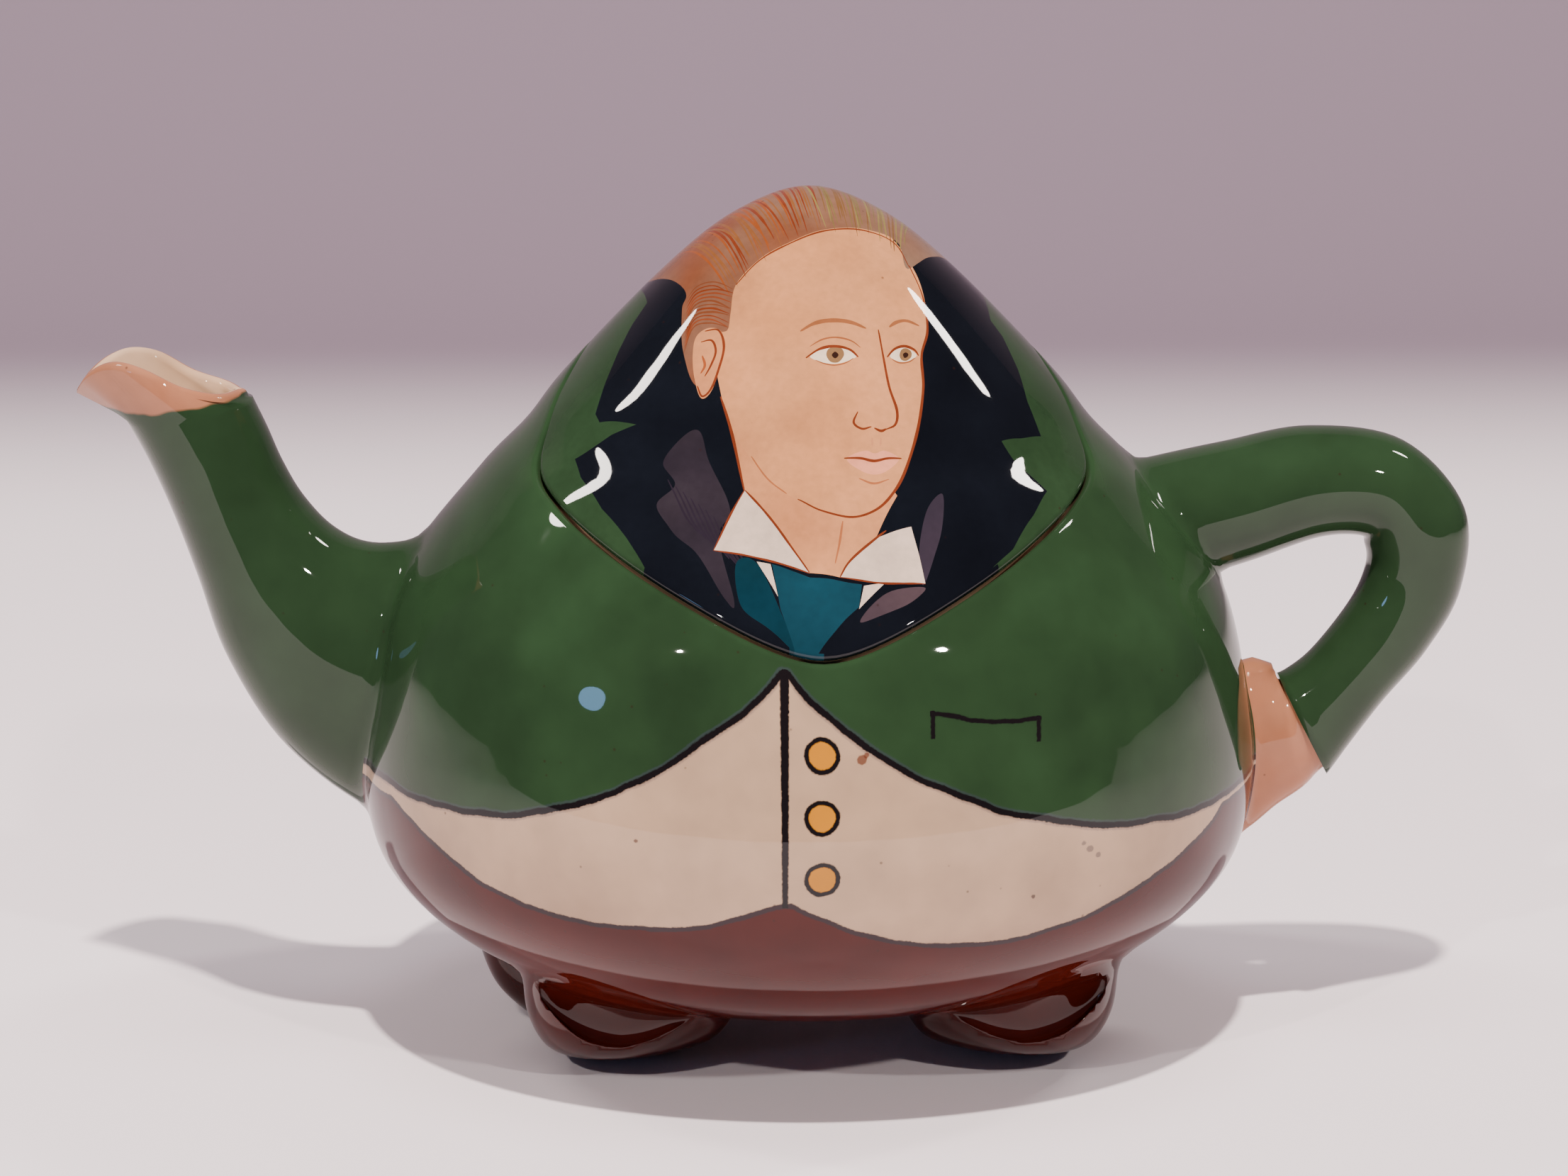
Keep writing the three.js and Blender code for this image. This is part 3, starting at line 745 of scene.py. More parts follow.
def body_paint(tree, place):
    opening_x = sum(in_mm(seen_on_body(*point))[0] for point in OPENING) / 2
    wobble = add(tree, "TexNoise", {"Vector": place, "Scale": 1000 / WOBBLE_MM, "Detail": 2.0})
    ragged = add(tree, "TexNoise", {"Vector": place, "Scale": 1000 / RAGGED_MM, "Detail": 3.0})
    axes = add(tree, "SeparateXYZ", [place]).outputs
    shift = add(tree, "Math", [wobble, 1.2, -0.6], operation="MULTIPLY_ADD")
    x = add(tree, "Math", [axes[0], 1000.0, -BODY_AXIS_X * 1000], operation="MULTIPLY_ADD")
    height = add(tree, "Math", [axes[2], 1000.0, shift], operation="MULTIPLY_ADD")
    front = add(tree, "Math", [axes[1], 0.0], operation="LESS_THAN")
    rough_edge = add(tree, "Math", [ragged, 0.315, -0.1575], operation="MULTIPLY_ADD")
    upright = add(tree, "CombineXYZ", [x, height])

    def level(points, nudge=0.0):
        """Height of a painted line over x, from the places where it is seen."""
        spots = sorted((in_mm(seen_on_body(*point)) for point in points))
        moved = add(tree, "Math", [x, 1 / CHART_WIDTH, 0.5 + nudge / CHART_WIDTH],
                    operation="MULTIPLY_ADD")
        curve = add(tree, "FloatCurve", {"Value": moved})
        mapping = curve.mapping.curves[0]
        pairs = [(across / CHART_WIDTH + 0.5, up / CHART_HEIGHT) for across, up in spots]
        mapping.points[0].location = pairs[0]
        mapping.points[1].location = pairs[-1]
        for pair in pairs[1:-1]:
            mapping.points.new(*pair)
        curve.mapping.extend = "HORIZONTAL"
        curve.mapping.update()
        return add(tree, "Math", [curve, CHART_HEIGHT], operation="MULTIPLY")

    def over_and_away(points_left, points_right, back):
        """Height over a line and the distance to it, from its two halves and its level behind."""
        over, away = [], []
        for points in (points_left, points_right):
            climb = add(tree, "Math", [level(points, 0.4), level(points, -0.4)], operation="SUBTRACT")
            slope = add(tree, "Math", [climb, 0.8], operation="DIVIDE")
            square = add(tree, "Math", [slope, slope, 1.0], operation="MULTIPLY_ADD")
            stretch = add(tree, "Math", [square], operation="SQRT")
            over.append(add(tree, "Math", [height, level(points)], operation="SUBTRACT"))
            away.append(add(tree, "Math", [over[-1], stretch], operation="DIVIDE"))
        right = add(tree, "Math", [x, opening_x], operation="GREATER_THAN")
        behind = add(tree, "Math", [height, back], operation="SUBTRACT")
        seen = [add(tree, "Mix", {"Factor": right, 2: pair[0], 3: pair[1]}) for pair in (over, away)]
        return [add(tree, "Mix", {"Factor": front, 2: behind, 3: half}) for half in seen]

    def near(distance, half):
        """1 on a line of this half width in mm, with a soft, slightly ragged edge."""
        size = add(tree, "Math", [distance], operation="ABSOLUTE")
        gap = add(tree, "Math", [size, half], operation="SUBTRACT")
        torn = add(tree, "Math", [gap, rough_edge], operation="ADD")
        return add(tree, "MapRange", [torn, -0.08, 0.10, 1.0, 0.0])

    def lay(under, paint, *masks):
        """Lay a paint over what is there, where all the masks let it through."""
        strength = masks[0]
        for mask in masks[1:]:
            strength = add(tree, "Math", [strength, mask], operation="MULTIPLY")
        return add(tree, "Mix", {"Factor": strength, 6: under, 7: paint}, data_type="RGBA")

    def round_spot(across, up, radius):
        """1 on a round spot, from the place where its middle is seen."""
        middle = (*in_mm(seen_on_body(across, up)), 0.0)
        return near(add(tree, "VectorMath", [upright, middle], operation="DISTANCE"), radius)

    hem_over, hem_away = over_and_away(HEM_LEFT, HEM_RIGHT, BACK_HEM)
    waist_over, waist_away = over_and_away(WAIST_LEFT, WAIST_RIGHT, BACK_WAIST)
    over_waist = add(tree, "MapRange", [waist_over, -0.1, 0.1])
    over_hem = add(tree, "MapRange", [hem_over, -0.1, 0.1])
    trousers = brushed(BROWN, "#45130c", 25.0)(tree, place)
    waistcoat = brushed(CREAM, "#aa8d73", 33.33)(tree, place)
    coat_green = brushed(GREEN, GREEN_THIN, 22.22)(tree, place)
    line = linear(LINE)
    colour = lay(lay(trousers, waistcoat, over_waist), coat_green, over_hem)
    # The black lines, with a thin blue-grey halo where the oxide has bled into the glaze
    colour = lay(colour, linear("#3b3a4c"), near(hem_away, LINE_HALF + 0.30), 0.35)
    colour = lay(colour, line, near(hem_away, LINE_HALF))
    colour = lay(colour, linear("#2a1c20"), near(waist_away, LINE_HALF * 0.85))
    # The opening of the waistcoat, a line that is thicker at the top
    below_hem = add(tree, "Math", [hem_over, 0.5], operation="LESS_THAN")
    above_waist = add(tree, "Math", [waist_over, -0.3], operation="GREATER_THAN")
    aside = add(tree, "Math", [x, opening_x], operation="SUBTRACT")
    aside = add(tree, "Math", [aside], operation="ABSOLUTE")
    wide = add(tree, "MapRange", [height, 32.0, 66.0, *OPENING_HALF])
    past = add(tree, "Math", [aside, wide], operation="SUBTRACT")
    past = add(tree, "Math", [past, LINE_HALF], operation="ADD")
    colour = lay(colour, line, near(past, LINE_HALF), below_hem, above_waist, front)
    for across, up in BUTTONS:
        colour = lay(colour, line, round_spot(across, up, BUTTON_RADIUS), front)
        brass = round_spot(across, up, BUTTON_RADIUS - BUTTON_RING)
        colour = lay(colour, linear(OCHRE), brass, front)
    for across, up, radius, code in SMUDGES:
        colour = lay(colour, linear(code), round_spot(across, up, radius), front, 0.8)
    # The pocket: a line along its top and a short one down each end
    pocket = level(POCKET)
    above = add(tree, "Math", [height, pocket], operation="SUBTRACT")
    left_x, right_x = (in_mm(seen_on_body(*POCKET[end]))[0] for end in (0, -1))
    half = (right_x - left_x) / 2
    aside = add(tree, "Math", [x, left_x + half], operation="SUBTRACT")
    aside = add(tree, "Math", [aside], operation="ABSOLUTE")
    between = add(tree, "Math", [aside, half + 0.4], operation="LESS_THAN")
    colour = lay(colour, line, near(above, 0.32), between, front)
    end_gap = add(tree, "Math", [aside, half], operation="SUBTRACT")
    under_top = add(tree, "Math", [above, 0.4], operation="LESS_THAN")
    over_foot = add(tree, "Math", [above, -POCKET_DEPTH], operation="GREATER_THAN")
    return lay(colour, line, near(end_gap, 0.30), under_top, over_foot, front)


# The sleeves and hands: green to the wrist, where the spout's cupped hand turns flesh colour at
# a wavy brushed edge. The hand is thinly painted, so it looks paler and warmer than the coat.
WRIST_LEVEL = 95.0
WRIST_SLOPE = 0.13
WRIST_INNER = 97.0           # millimetres from the axis where the wrist's edge starts to rise


def sleeve_paint(tree, place):
    axes = add(tree, "SeparateXYZ", [place]).outputs
    wavy = add(tree, "TexNoise", {"Vector": place, "Scale": 1000 / 7.143, "Detail": 2.0})
    shift = add(tree, "Math", [wavy, 2.4, -1.2], operation="MULTIPLY_ADD")
    height = add(tree, "Math", [axes[2], 1000.0, shift], operation="MULTIPLY_ADD")
    inner = add(tree, "Math", [axes[0], 1000.0, WRIST_INNER - BODY_AXIS_X * 1000],
                operation="MULTIPLY_ADD")
    inner = add(tree, "Math", [inner, 0.0], operation="MAXIMUM")
    rise = add(tree, "Math", [inner, WRIST_SLOPE], operation="MULTIPLY")
    height = add(tree, "Math", [height, rise], operation="SUBTRACT")
    over = add(tree, "MapRange", [height, WRIST_LEVEL, WRIST_LEVEL + 0.4])
    spout_side = add(tree, "Math", [axes[0], BODY_AXIS_X], operation="LESS_THAN")
    hand = add(tree, "Math", [over, spout_side], operation="MULTIPLY")
    green = brushed(GREEN, GREEN_SLEEVE, 22.22)(tree, place)
    flesh = brushed(FLESH, "#9a6246", 11.11)(tree, place)
    return add(tree, "Mix", {"Factor": hand, 6: green, 7: flesh}, data_type="RGBA")


# In the order of the pot's slots: the painted body, the inside where cream clay shows through
# the clear glaze, the sleeves, the hand on the hip, and the shoes, whose brown runs darker
for number, material in enumerate((
    glazed("painted_earthenware", body_paint),
    glazed("cream_glazed_inside", brushed("#c9a88c", "#bd9878", 16.67)),
    glazed("green_glazed_sleeve", sleeve_paint),
    glazed("flesh_glazed_hand", brushed(FLESH, "#a4694b", 8.333)),
    glazed("brown_glazed_shoe", brushed(BROWN, "#2e0a05", 16.67)),
)):
    pot.data.materials[number] = material

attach(pot, "root")
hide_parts("body", "spout", "handle", "shoe_left", "shoe_right",
            "rear_foot_left", "rear_foot_right")


# The lid: a hollow cap that carries the head. It sits on the slanting rim with a hairline gap,
# and a flange under it keeps it from sliding. The whole painting is under the same clear glaze.
LID_WALL = 0.0036
FLANGE_DEPTH = 0.006
FLANGE_WALL = 0.003
FLANGE_CLEARANCE = 0.0009
LID_EDGE = SEAM_GAP + EDGE_ROUND
NAVY = "#0a0c12"
TEAL_DARK = "#0e2a31"
TEAL = "#173a47"
LINEN = "#cfb7a5"
SEPIA = "#6b2f1a"
SEPIA_THIN = "#9a5a38"
SEPIA_PALE = "#8a4f30"
SKIN_LIGHT = "#c4875c"
EYE_WHITE = "#dcc5ab"
EYE_BROWN = "#7a5a3c"
EYE_DARK = "#2c1a14"
HAIR = "#766050"
HAIR_LINES = 64
TEMPLE_LINES = 12
BRUSH_SPACING = 0.0005       # metres between the points of a painted outline
BRUSH_WOBBLE = 0.00012
FINE_WOBBLE = 0.00002


def plan_of(point):
    return Vector((point.x - BODY_AXIS_X, point.y))


def seen_plan(across, up):
    return plan_of(seen_on_body(across, up))


def around_plan(degrees, height):
    """A place on the lid by its angle from the front and its height in mm."""
    return plan_of(skin_at_height(math.radians(degrees), height / 1000)[0])


def plan_angle(plan):
    return math.atan2(plan.x, -plan.y / FLATTENING)


def on_lid(plan):
    """The surface point and direction over a place in plan."""
    reach = math.hypot(plan.x, plan.y / FLATTENING)
    step = place_where(reach, 0, widest_step, OUTLINE_STEPS)
    return skin_frame(plan_angle(plan), step)


hair_random = random.Random(7)
paint_shapes = []            # closed outlines in plan, each with the two colours of its paint


def resampled(points, spacing, closed):
    """Points at even spacing along a line."""
    line = list(points) + ([points[0]] if closed else [])
    result = []
    for start, end in zip(line, line[1:]):
        count = max(1, round((end - start).length / spacing))
        result.extend(start + (end - start) * step / count for step in range(count))
    if not closed:
        result.append(line[-1])
    return result


def curved(points, steps=8, closed=False):
    """A smooth line through the points."""
    pairs = [tuple(point) for point in points]
    if closed:
        pairs = pairs[-2:] + pairs + pairs[:3]
        last = len(pairs) - 3
        first = 2
    else:
        first, last = 0, len(pairs) - 1
    places = [first + step / steps for step in range((last - first) * steps + (0 if closed else 1))]
    return [Vector(smooth_through(pairs, place)) for place in places]


def brush_wobble(plan, amount):
    shift = noise.noise_vector(Vector((plan.x * 260, plan.y * 260, 0.5)))
    return plan + Vector((shift.x, shift.y)) * amount


def add_shape(outline, colour, second):
    area = sum(a.x * b.y - b.x * a.y for a, b in zip(outline, outline[1:] + outline[:1]))
    paint_shapes.append((outline if area > 0 else outline[::-1], colour, second or colour))


def patch(points, colour, second=None, smooth=True, wobble=BRUSH_WOBBLE):
    """A painted area. Points are as seen, or plan vectors."""
    plan = [point if isinstance(point, Vector) else seen_plan(*point) for point in points]
    if smooth:
        plan = curved(plan, 8, True)
    plan = resampled(plan, BRUSH_SPACING, True)
    add_shape([brush_wobble(point, wobble) for point in plan], colour, second)


def stroke(points, colour, width, tip=0.35, fade=None):
    """A brush line, thin at its ends. Width in mm."""
    plan = [point if isinstance(point, Vector) else seen_plan(*point) for point in points]
    line = resampled(curved(plan, 8), BRUSH_SPACING, False)
    if len(line) < 3:
        return
    left, right = [], []
    for index, point in enumerate(line):
        along = (line[min(index + 1, len(line) - 1)] - line[max(index - 1, 0)])
        if along.length < 1e-9:
            continue
        side = Vector((-along.y, along.x)).normalized()
        share = index / (len(line) - 1)
        swell = tip + (1 - tip) * math.sin(math.pi * share) ** 0.6
        swell *= 0.85 + 0.3 * noise.noise(Vector((point.x * 500, point.y * 500, 3.0)))
        half = width / 2000 * swell
        spot, direction = on_lid(point)
        lean = direction.xy
        if lean.length > 1e-6:
            # A line across the slope looks narrower from above, so the plan is squeezed there
            fall = lean.normalized()
            part = side.dot(fall)
            side = side - fall * part * (1 - direction.z)
        left.append(brush_wobble(point + side * half, 0.00005))
        right.append(brush_wobble(point - side * half, 0.00005))
    add_shape(left + right[::-1], colour, fade)


# The open collar: navy outside, with paler charcoal folds, over a teal scarf and white linen
collar_left = [(-23.6, 107.4), (-25.8, 104.2), (-27.9, 100.0), (-29.8, 95.5), (-31.2, 91.1),
               (-30.6, 89.8), (-26.1, 89.8), (-25.2, 89.6), (-28.8, 88.0), (-34.2, 84.5),
               (-33.3, 81.8), (-30.2, 77.2), (-26.7, 72.9), (-23.8, 68.1), (-21.0, 62.0)]
collar_right = [(23.0, 58.0), (25.1, 66.6), (29.9, 71.4), (32.9, 76.2), (34.9, 79.7),
                (29.9, 84.5), (28.3, 87.0), (31.1, 87.5), (34.0, 87.8), (32.1, 92.8),
                (30.6, 97.6), (28.4, 102.4), (26.6, 104.8)]
patch([seen_plan(*point) for point in collar_left]
      + [Vector((0.0, -0.056))]
      + [seen_plan(*point) for point in collar_right]
      + [around_plan(angle, height) for angle, height in
         ((104, 110.0), (125, 109.0), (150, 108.8), (180, 109.0), (-150, 109.2),
          (-125, 109.6), (-104, 110.2))],
      NAVY, "#0f1219", smooth=False)
patch([(-18.7, 87.5), (-16.0, 88.7), (-14.5, 83.9), (-11.5, 76.9), (-13.1, 73.2), (-10.9, 63.5),
       (-12.4, 64.3), (-16.6, 70.8), (-20.1, 74.1), (-22.2, 77.8), (-19.5, 80.8), (-21.3, 83.9)],
      "#342d33", "#211c24")
patch([(17.4, 77.1), (19.6, 79.4), (19.3, 73.2), (16.8, 66.0), (16.2, 71.4)], "#332b35", "#241f29")
patch([(7.6, 60.6), (11.4, 64.8), (17.1, 65.6), (13.8, 62.9)], "#4a3b40", "#2f272e")
for offset in range(9):
    start = (-20.6 + 1.1 * offset, 81.5 - 0.9 * offset)
    stroke([start, (start[0] + 2.4, start[1] - 5.0), (start[0] + 4.6, start[1] - 8.0)],
           "#241d27", 0.35)
patch([(-10.6, 69.3), (-7.6, 69.3), (-4.1, 62.2), (-2.0, 56.5), (-6.4, 60.1), (-10.0, 63.1)],
      TEAL_DARK, "#0d2a36")
patch([(-5.4, 69.1), (0.2, 67.2), (5.8, 66.5), (7.8, 66.2), (7.4, 62.9), (5.3, 61.0), (1.3, 55.8),
       (-0.4, 54.4), (-2.0, 56.5), (-4.1, 62.5)], TEAL, "#12303b", smooth=False)
patch([(-7.6, 69.5), (-5.6, 69.1), (-4.5, 64.4)], LINEN, smooth=False)
patch([(8.1, 66.0), (11.2, 66.3), (7.4, 62.6)], LINEN, smooth=False)

# The neck, and the head over it: a calm man who looks a little to his left
patch([(-12.0, 92.0), (-10.3, 84.0), (-9.4, 79.5), (-4.1, 73.6), (-0.2, 67.9), (4.6, 67.2),
       (6.1, 69.6), (9.9, 72.9), (13.0, 79.0), (8.0, 88.0)], SKIN_LIGHT, "#b5754c", smooth=False)
patch([(-9.3, 79.9), (-11.5, 76.2), (-13.9, 71.1), (-7.0, 69.9), (0.1, 67.8), (-4.1, 73.8)],
      LINEN, "#c4ad9d", smooth=False)
patch([(4.6, 67.2), (6.1, 69.6), (9.9, 72.9), (15.0, 74.5), (16.2, 70.2), (17.1, 66.2),
       (10.8, 66.3)], LINEN, "#c4ad9d", smooth=False)
face = [(-14.0, 104.0), (-13.4, 97.0), (-11.6, 89.5), (-8.2, 84.0), (-3.6, 79.6), (2.0, 76.8),
        (6.5, 75.9), (10.4, 77.2), (13.0, 80.2), (14.8, 84.4), (16.2, 89.6), (16.9, 95.0),
        (16.6, 99.5), (17.5, 103.2), (16.9, 108.0), (14.9, 113.0), (10.0, 118.5), (0.0, 119.5),
        (-10.0, 116.0)]
patch(face, SKIN_LIGHT, "#ba7c50")
back_hair = [seen_plan(*point) for point in (
    (14.9, 112.4), (13.0, 116.2), (8.6, 118.0), (3.0, 118.2), (-2.4, 116.4), (-7.4, 113.6),
    (-10.6, 110.0), (-11.4, 106.0), (-11.9, 103.4), (-13.2, 102.6), (-13.0, 99.0), (-14.2, 95.4),
    (-16.8, 95.6), (-18.4, 100.6), (-18.5, 106.4), (-18.2, 109.4),
)] + [around_plan(angle, height) for angle, height in (
    (-92, 112.6), (-112, 112.8), (-140, 113.4), (-165, 113.8), (175, 114.0), (150, 113.8),
    (125, 114.0), (100, 114.4),
)]
patch(back_hair, HAIR, "#723e26")
patch([(-14.9, 103.6), (-12.9, 103.2), (-12.3, 100.6), (-13.2, 97.0), (-14.4, 94.2), (-15.6, 93.4),
       (-16.4, 95.0), (-17.0, 99.0), (-16.6, 102.2)], SKIN_LIGHT, "#b5754c")

# Hair lines swept from the parting down over the ear, greener where the hair is fair
for index in range(HAIR_LINES):
    share = index / (HAIR_LINES - 1)
    near_x = -11.4 + 25.6 * share
    near_y = 106.0 + 11.6 * math.sin(math.pi * min(share * 1.15 + 0.1, 1.0) * 0.62)
    near = seen_plan(near_x, min(near_y, 118.2 - 4.6 * share ** 3))
    far = around_plan(-94 - 16 * hair_random.random() - 110 * share, 114 + 2 * hair_random.random())
    middle = (near + far) / 2 + Vector((0.003 * (share - 0.4), 0.002 + 0.003 * hair_random.random()))
    start = hair_random.uniform(0.0, 0.22)
    end = hair_random.uniform(0.03, 0.40)
    points = [near + (middle - near) * start, middle, far + (middle - far) * end]
    tones = ("#6f3018", "#84431f", "#7a4a28") if share < 0.55 else ("#6b5a34", "#7a6a3c", "#6b4a2a")
    stroke(points, hair_random.choice(tones), hair_random.uniform(0.25, 0.55), 0.12)
for index in range(TEMPLE_LINES):
    share = index / (TEMPLE_LINES - 1)
    x = -11.8 - 0.5 * share
    y = 109.5 - 6.0 * share
    stroke([(x + hair_random.uniform(0.0, 1.0), y + hair_random.uniform(-0.3, 0.5)),
            (x - 2.2, y + 0.9), (x - 4.6, y + 0.2), (x - 6.0, y - 1.6 - 2.0 * share)],
           hair_random.choice(("#6f3018", "#7a3a20", "#6d3a22")), hair_random.uniform(0.24, 0.44), 0.12)
stroke([(-10.6, 110.0), (-7.4, 113.4), (-2.4, 116.2), (3.0, 118.0), (8.6, 117.8), (12.6, 116.0),
        (14.7, 112.6)], SEPIA, 0.34, 0.4)

# The drawing of the face in sepia
stroke([(14.7, 112.8), (16.7, 108.2), (17.4, 103.4), (16.5, 99.6), (16.8, 95.0), (16.1, 89.6),
        (14.7, 84.4), (12.9, 80.2), (10.3, 77.3), (6.5, 76.0), (2.0, 76.9), (-1.6, 78.6)], SEPIA, 0.50)
stroke([(-12.9, 93.6), (-11.5, 89.2), (-10.4, 84.4), (-9.4, 79.8)], SEPIA, 0.50)
stroke([(-8.4, 84.8), (-5.8, 81.4), (-3.2, 79.4)], SEPIA_THIN, 0.35)
stroke([(-9.3, 79.9), (-4.1, 73.8), (0.1, 67.9)], SEPIA, 0.45)
stroke([(-9.4, 79.9), (-11.5, 76.2), (-13.9, 71.1)], SEPIA, 0.35)
stroke([(-13.9, 71.1), (-7.0, 69.9), (0.1, 67.8)], SEPIA, 0.35)
stroke([(11.4, 74.0), (9.9, 72.9), (6.1, 69.6), (4.6, 67.2)], SEPIA, 0.42)
stroke([(4.6, 67.2), (10.8, 66.3), (17.1, 66.2)], SEPIA, 0.35)
stroke([(5.0, 75.4), (4.5, 72.0), (3.9, 69.2)], SEPIA_THIN, 0.35)
stroke([(-15.2, 103.2), (-13.2, 103.3), (-12.4, 100.8), (-13.3, 97.2), (-14.4, 94.6),
        (-15.6, 93.7), (-16.3, 95.2)], SEPIA, 0.45)
stroke([(-15.8, 101.6), (-14.2, 101.8), (-13.6, 100.2), (-14.3, 98.2), (-15.2, 96.6)], SEPIA, 0.40)
stroke([(-15.6, 99.6), (-15.2, 98.2), (-15.8, 97.0)], "#8a4526", 0.45)
# Near eye
patch([(0.2, 99.5), (1.8, 100.5), (3.8, 100.9), (5.8, 100.4), (7.0, 99.5), (5.4, 98.7),
       (3.6, 98.4), (1.8, 98.7)], EYE_WHITE, wobble=FINE_WOBBLE)
patch([(2.6, 99.7), (2.9, 100.6), (3.9, 100.85), (4.9, 100.6), (5.2, 99.7), (4.6, 98.8),
       (3.9, 98.55), (3.1, 98.8)], EYE_BROWN, wobble=FINE_WOBBLE)
patch([(3.4, 99.7), (3.9, 100.2), (4.4, 99.7), (3.9, 99.2)], EYE_DARK, wobble=FINE_WOBBLE)
stroke([(-0.4, 99.3), (1.6, 100.6), (3.8, 101.0), (6.0, 100.5), (7.3, 99.4)], SEPIA, 0.55)
stroke([(1.0, 99.0), (2.2, 98.5), (3.8, 98.2), (5.4, 98.5), (6.6, 99.2)], SEPIA_PALE, 0.28)
stroke([(0.2, 101.0), (2.0, 102.0), (4.0, 102.3), (6.2, 101.8), (7.6, 100.8)], SEPIA_PALE, 0.30)
stroke([(-1.2, 103.2), (1.0, 104.4), (3.6, 104.8), (6.2, 104.5), (8.4, 103.6)], "#8a5232", 0.80, 0.25)
# Far eye
patch([(11.9, 99.6), (12.8, 100.5), (14.0, 100.8), (15.2, 100.3), (15.8, 99.6), (14.8, 98.9),
       (13.6, 98.7), (12.6, 99.0)], EYE_WHITE, wobble=FINE_WOBBLE)
patch([(13.3, 99.7), (13.6, 100.5), (14.3, 100.7), (15.0, 100.2), (15.0, 99.4), (14.3, 98.85),
       (13.6, 99.0)], EYE_BROWN, wobble=FINE_WOBBLE)
patch([(13.8, 99.8), (14.2, 100.1), (14.6, 99.8), (14.4, 99.4), (14.0, 99.3)], EYE_DARK,
      wobble=FINE_WOBBLE)
stroke([(11.5, 99.4), (12.6, 100.6), (14.0, 101.0), (15.4, 100.5), (16.1, 99.6)], SEPIA, 0.50)
stroke([(12.2, 99.1), (13.3, 98.6), (14.6, 98.7), (15.6, 99.3)], SEPIA_PALE, 0.28)
stroke([(11.8, 103.8), (12.9, 104.5), (14.4, 104.7), (16.2, 104.0)], "#8a5232", 0.70, 0.25)
# Nose and mouth
stroke([(10.2, 103.4), (11.0, 99.2), (11.8, 95.0), (12.9, 91.6), (12.7, 89.6), (11.3, 88.8)],
       SEPIA, 0.45)
stroke([(7.2, 91.4), (6.6, 89.8), (7.8, 88.9), (9.2, 89.2)], SEPIA, 0.42)
stroke([(9.6, 89.0), (10.6, 88.6), (11.4, 88.9)], SEPIA, 0.50)
patch([(5.6, 84.5), (8.2, 85.7), (9.7, 85.3), (11.2, 85.7), (13.2, 84.5), (11.4, 82.7),
       (9.6, 82.2), (7.6, 82.8)], "#d98f70", "#cf8266", wobble=0.00003)
stroke([(5.2, 84.6), (7.6, 84.6), (9.6, 84.2), (11.6, 84.6), (13.6, 84.6)], SEPIA, 0.50)
stroke([(7.4, 81.6), (9.6, 80.9), (11.8, 81.5)], SEPIA_THIN, 0.38)
stroke([(9.3, 87.6), (9.3, 86.4)], "#b87a55", 0.35)
stroke([(10.6, 87.6), (10.5, 86.4)], "#b87a55", 0.35)


# The painting is pressed on to the lid: all its outlines are joined in plan with a fine grid and
# the lid's edge, and every corner of the result is lifted to the lid's surface
def lid_edge_plan(angle):
    return plan_of(skin_at_height(angle, seam_height(angle) + LID_EDGE)[0])


edge_plan = [lid_edge_plan(angle) for angle in ring_angles(BODY_SIDES)]
plan_points = list(edge_plan)
plan_faces = [list(range(len(edge_plan)))]
for outline, _, _ in paint_shapes:
    first = len(plan_points)
    plan_points.extend(outline)
    plan_faces.append(list(range(first, first + len(outline))))
PLAN_GRID = 0.0011
PLAN_REACH = 0.06
TRIANGLE_ROW = 0.87          # row spacing of even triangles, as a share of the grid
reach = int(PLAN_REACH / PLAN_GRID)
for row in range(-reach, reach + 1):
    for column in range(-reach, reach + 1):
        spot = Vector(((column + 0.5 * (row % 2)) * PLAN_GRID, row * PLAN_GRID * TRIANGLE_ROW))
        edge = lid_edge_plan(plan_angle(spot)) if spot.length > 1e-6 else Vector((1, 1))
        if spot.length < edge.length - PLAN_GRID * 0.7:
            plan_points.append(spot)
cut_points, _, cut_faces, _, _, from_faces = delaunay_2d_cdt(plan_points, [], plan_faces, 1, 1e-7)
kept = [(face, max(origin)) for face, origin in zip(cut_faces, from_faces) if 0 in origin]
used = sorted({corner for face, shape in kept for corner in face})
renumbered = {old: new for new, old in enumerate(used)}
lid_points = []
lid_normals = []
for old in used:
    spot, direction = on_lid(Vector(cut_points[old]))
    lid_points.append(spot)
    lid_normals.append(direction)
lid_faces = [[renumbered[corner] for corner in face] for face, shape in kept]
face_shapes = [shape for face, shape in kept]
lid_tags = [0] * len(lid_faces)

# Round the edge, then in along the seat, down round the flange and up the inside
half_edges = {}
for face in lid_faces:
    for start, end in zip(face, face[1:] + face[:1]):
        half_edges[(start, end)] = face
rim_next = {start: end for start, end in half_edges if (end, start) not in half_edges}
rim = [next(iter(rim_next))]
while rim_next[rim[-1]] != rim[0]:
    rim.append(rim_next[rim[-1]])
rim_angles = [plan_angle(plan_of(lid_points[index])) for index in rim]
for index, angle in zip(rim, rim_angles):
    lid_points[index], lid_normals[index] = skin_at_height(angle, seam_height(angle) + LID_EDGE)


def lid_seam_ring(depth, rise):
    return [skin_at_height(angle, seam_height(angle) + rise, depth)[0] for angle in rim_angles]


def flange_ring(inset, drop):
    ring = []
    for angle in rim_angles:
        edge = skin_at_height(angle, seam_height(angle), WALL)[0]
        ahead = skin_at_height(angle + 0.01, seam_height(angle + 0.01), WALL)[0]
        behind = skin_at_height(angle - 0.01, seam_height(angle - 0.01), WALL)[0]
        inward = Vector((behind.y - ahead.y, ahead.x - behind.x, 0)).normalized()
        ring.append(Vector((edge.x + inward.x * inset, edge.y + inward.y * inset, edge.z - drop)))
    return ring


def lid_inner_ring(share):
    ring = []
    for angle in rim_angles:
        low = seam_height(angle) + LID_EDGE
        ring.append(skin_at_height(angle, POT_HEIGHT - (POT_HEIGHT - low) * share, LID_WALL)[0])
    return ring


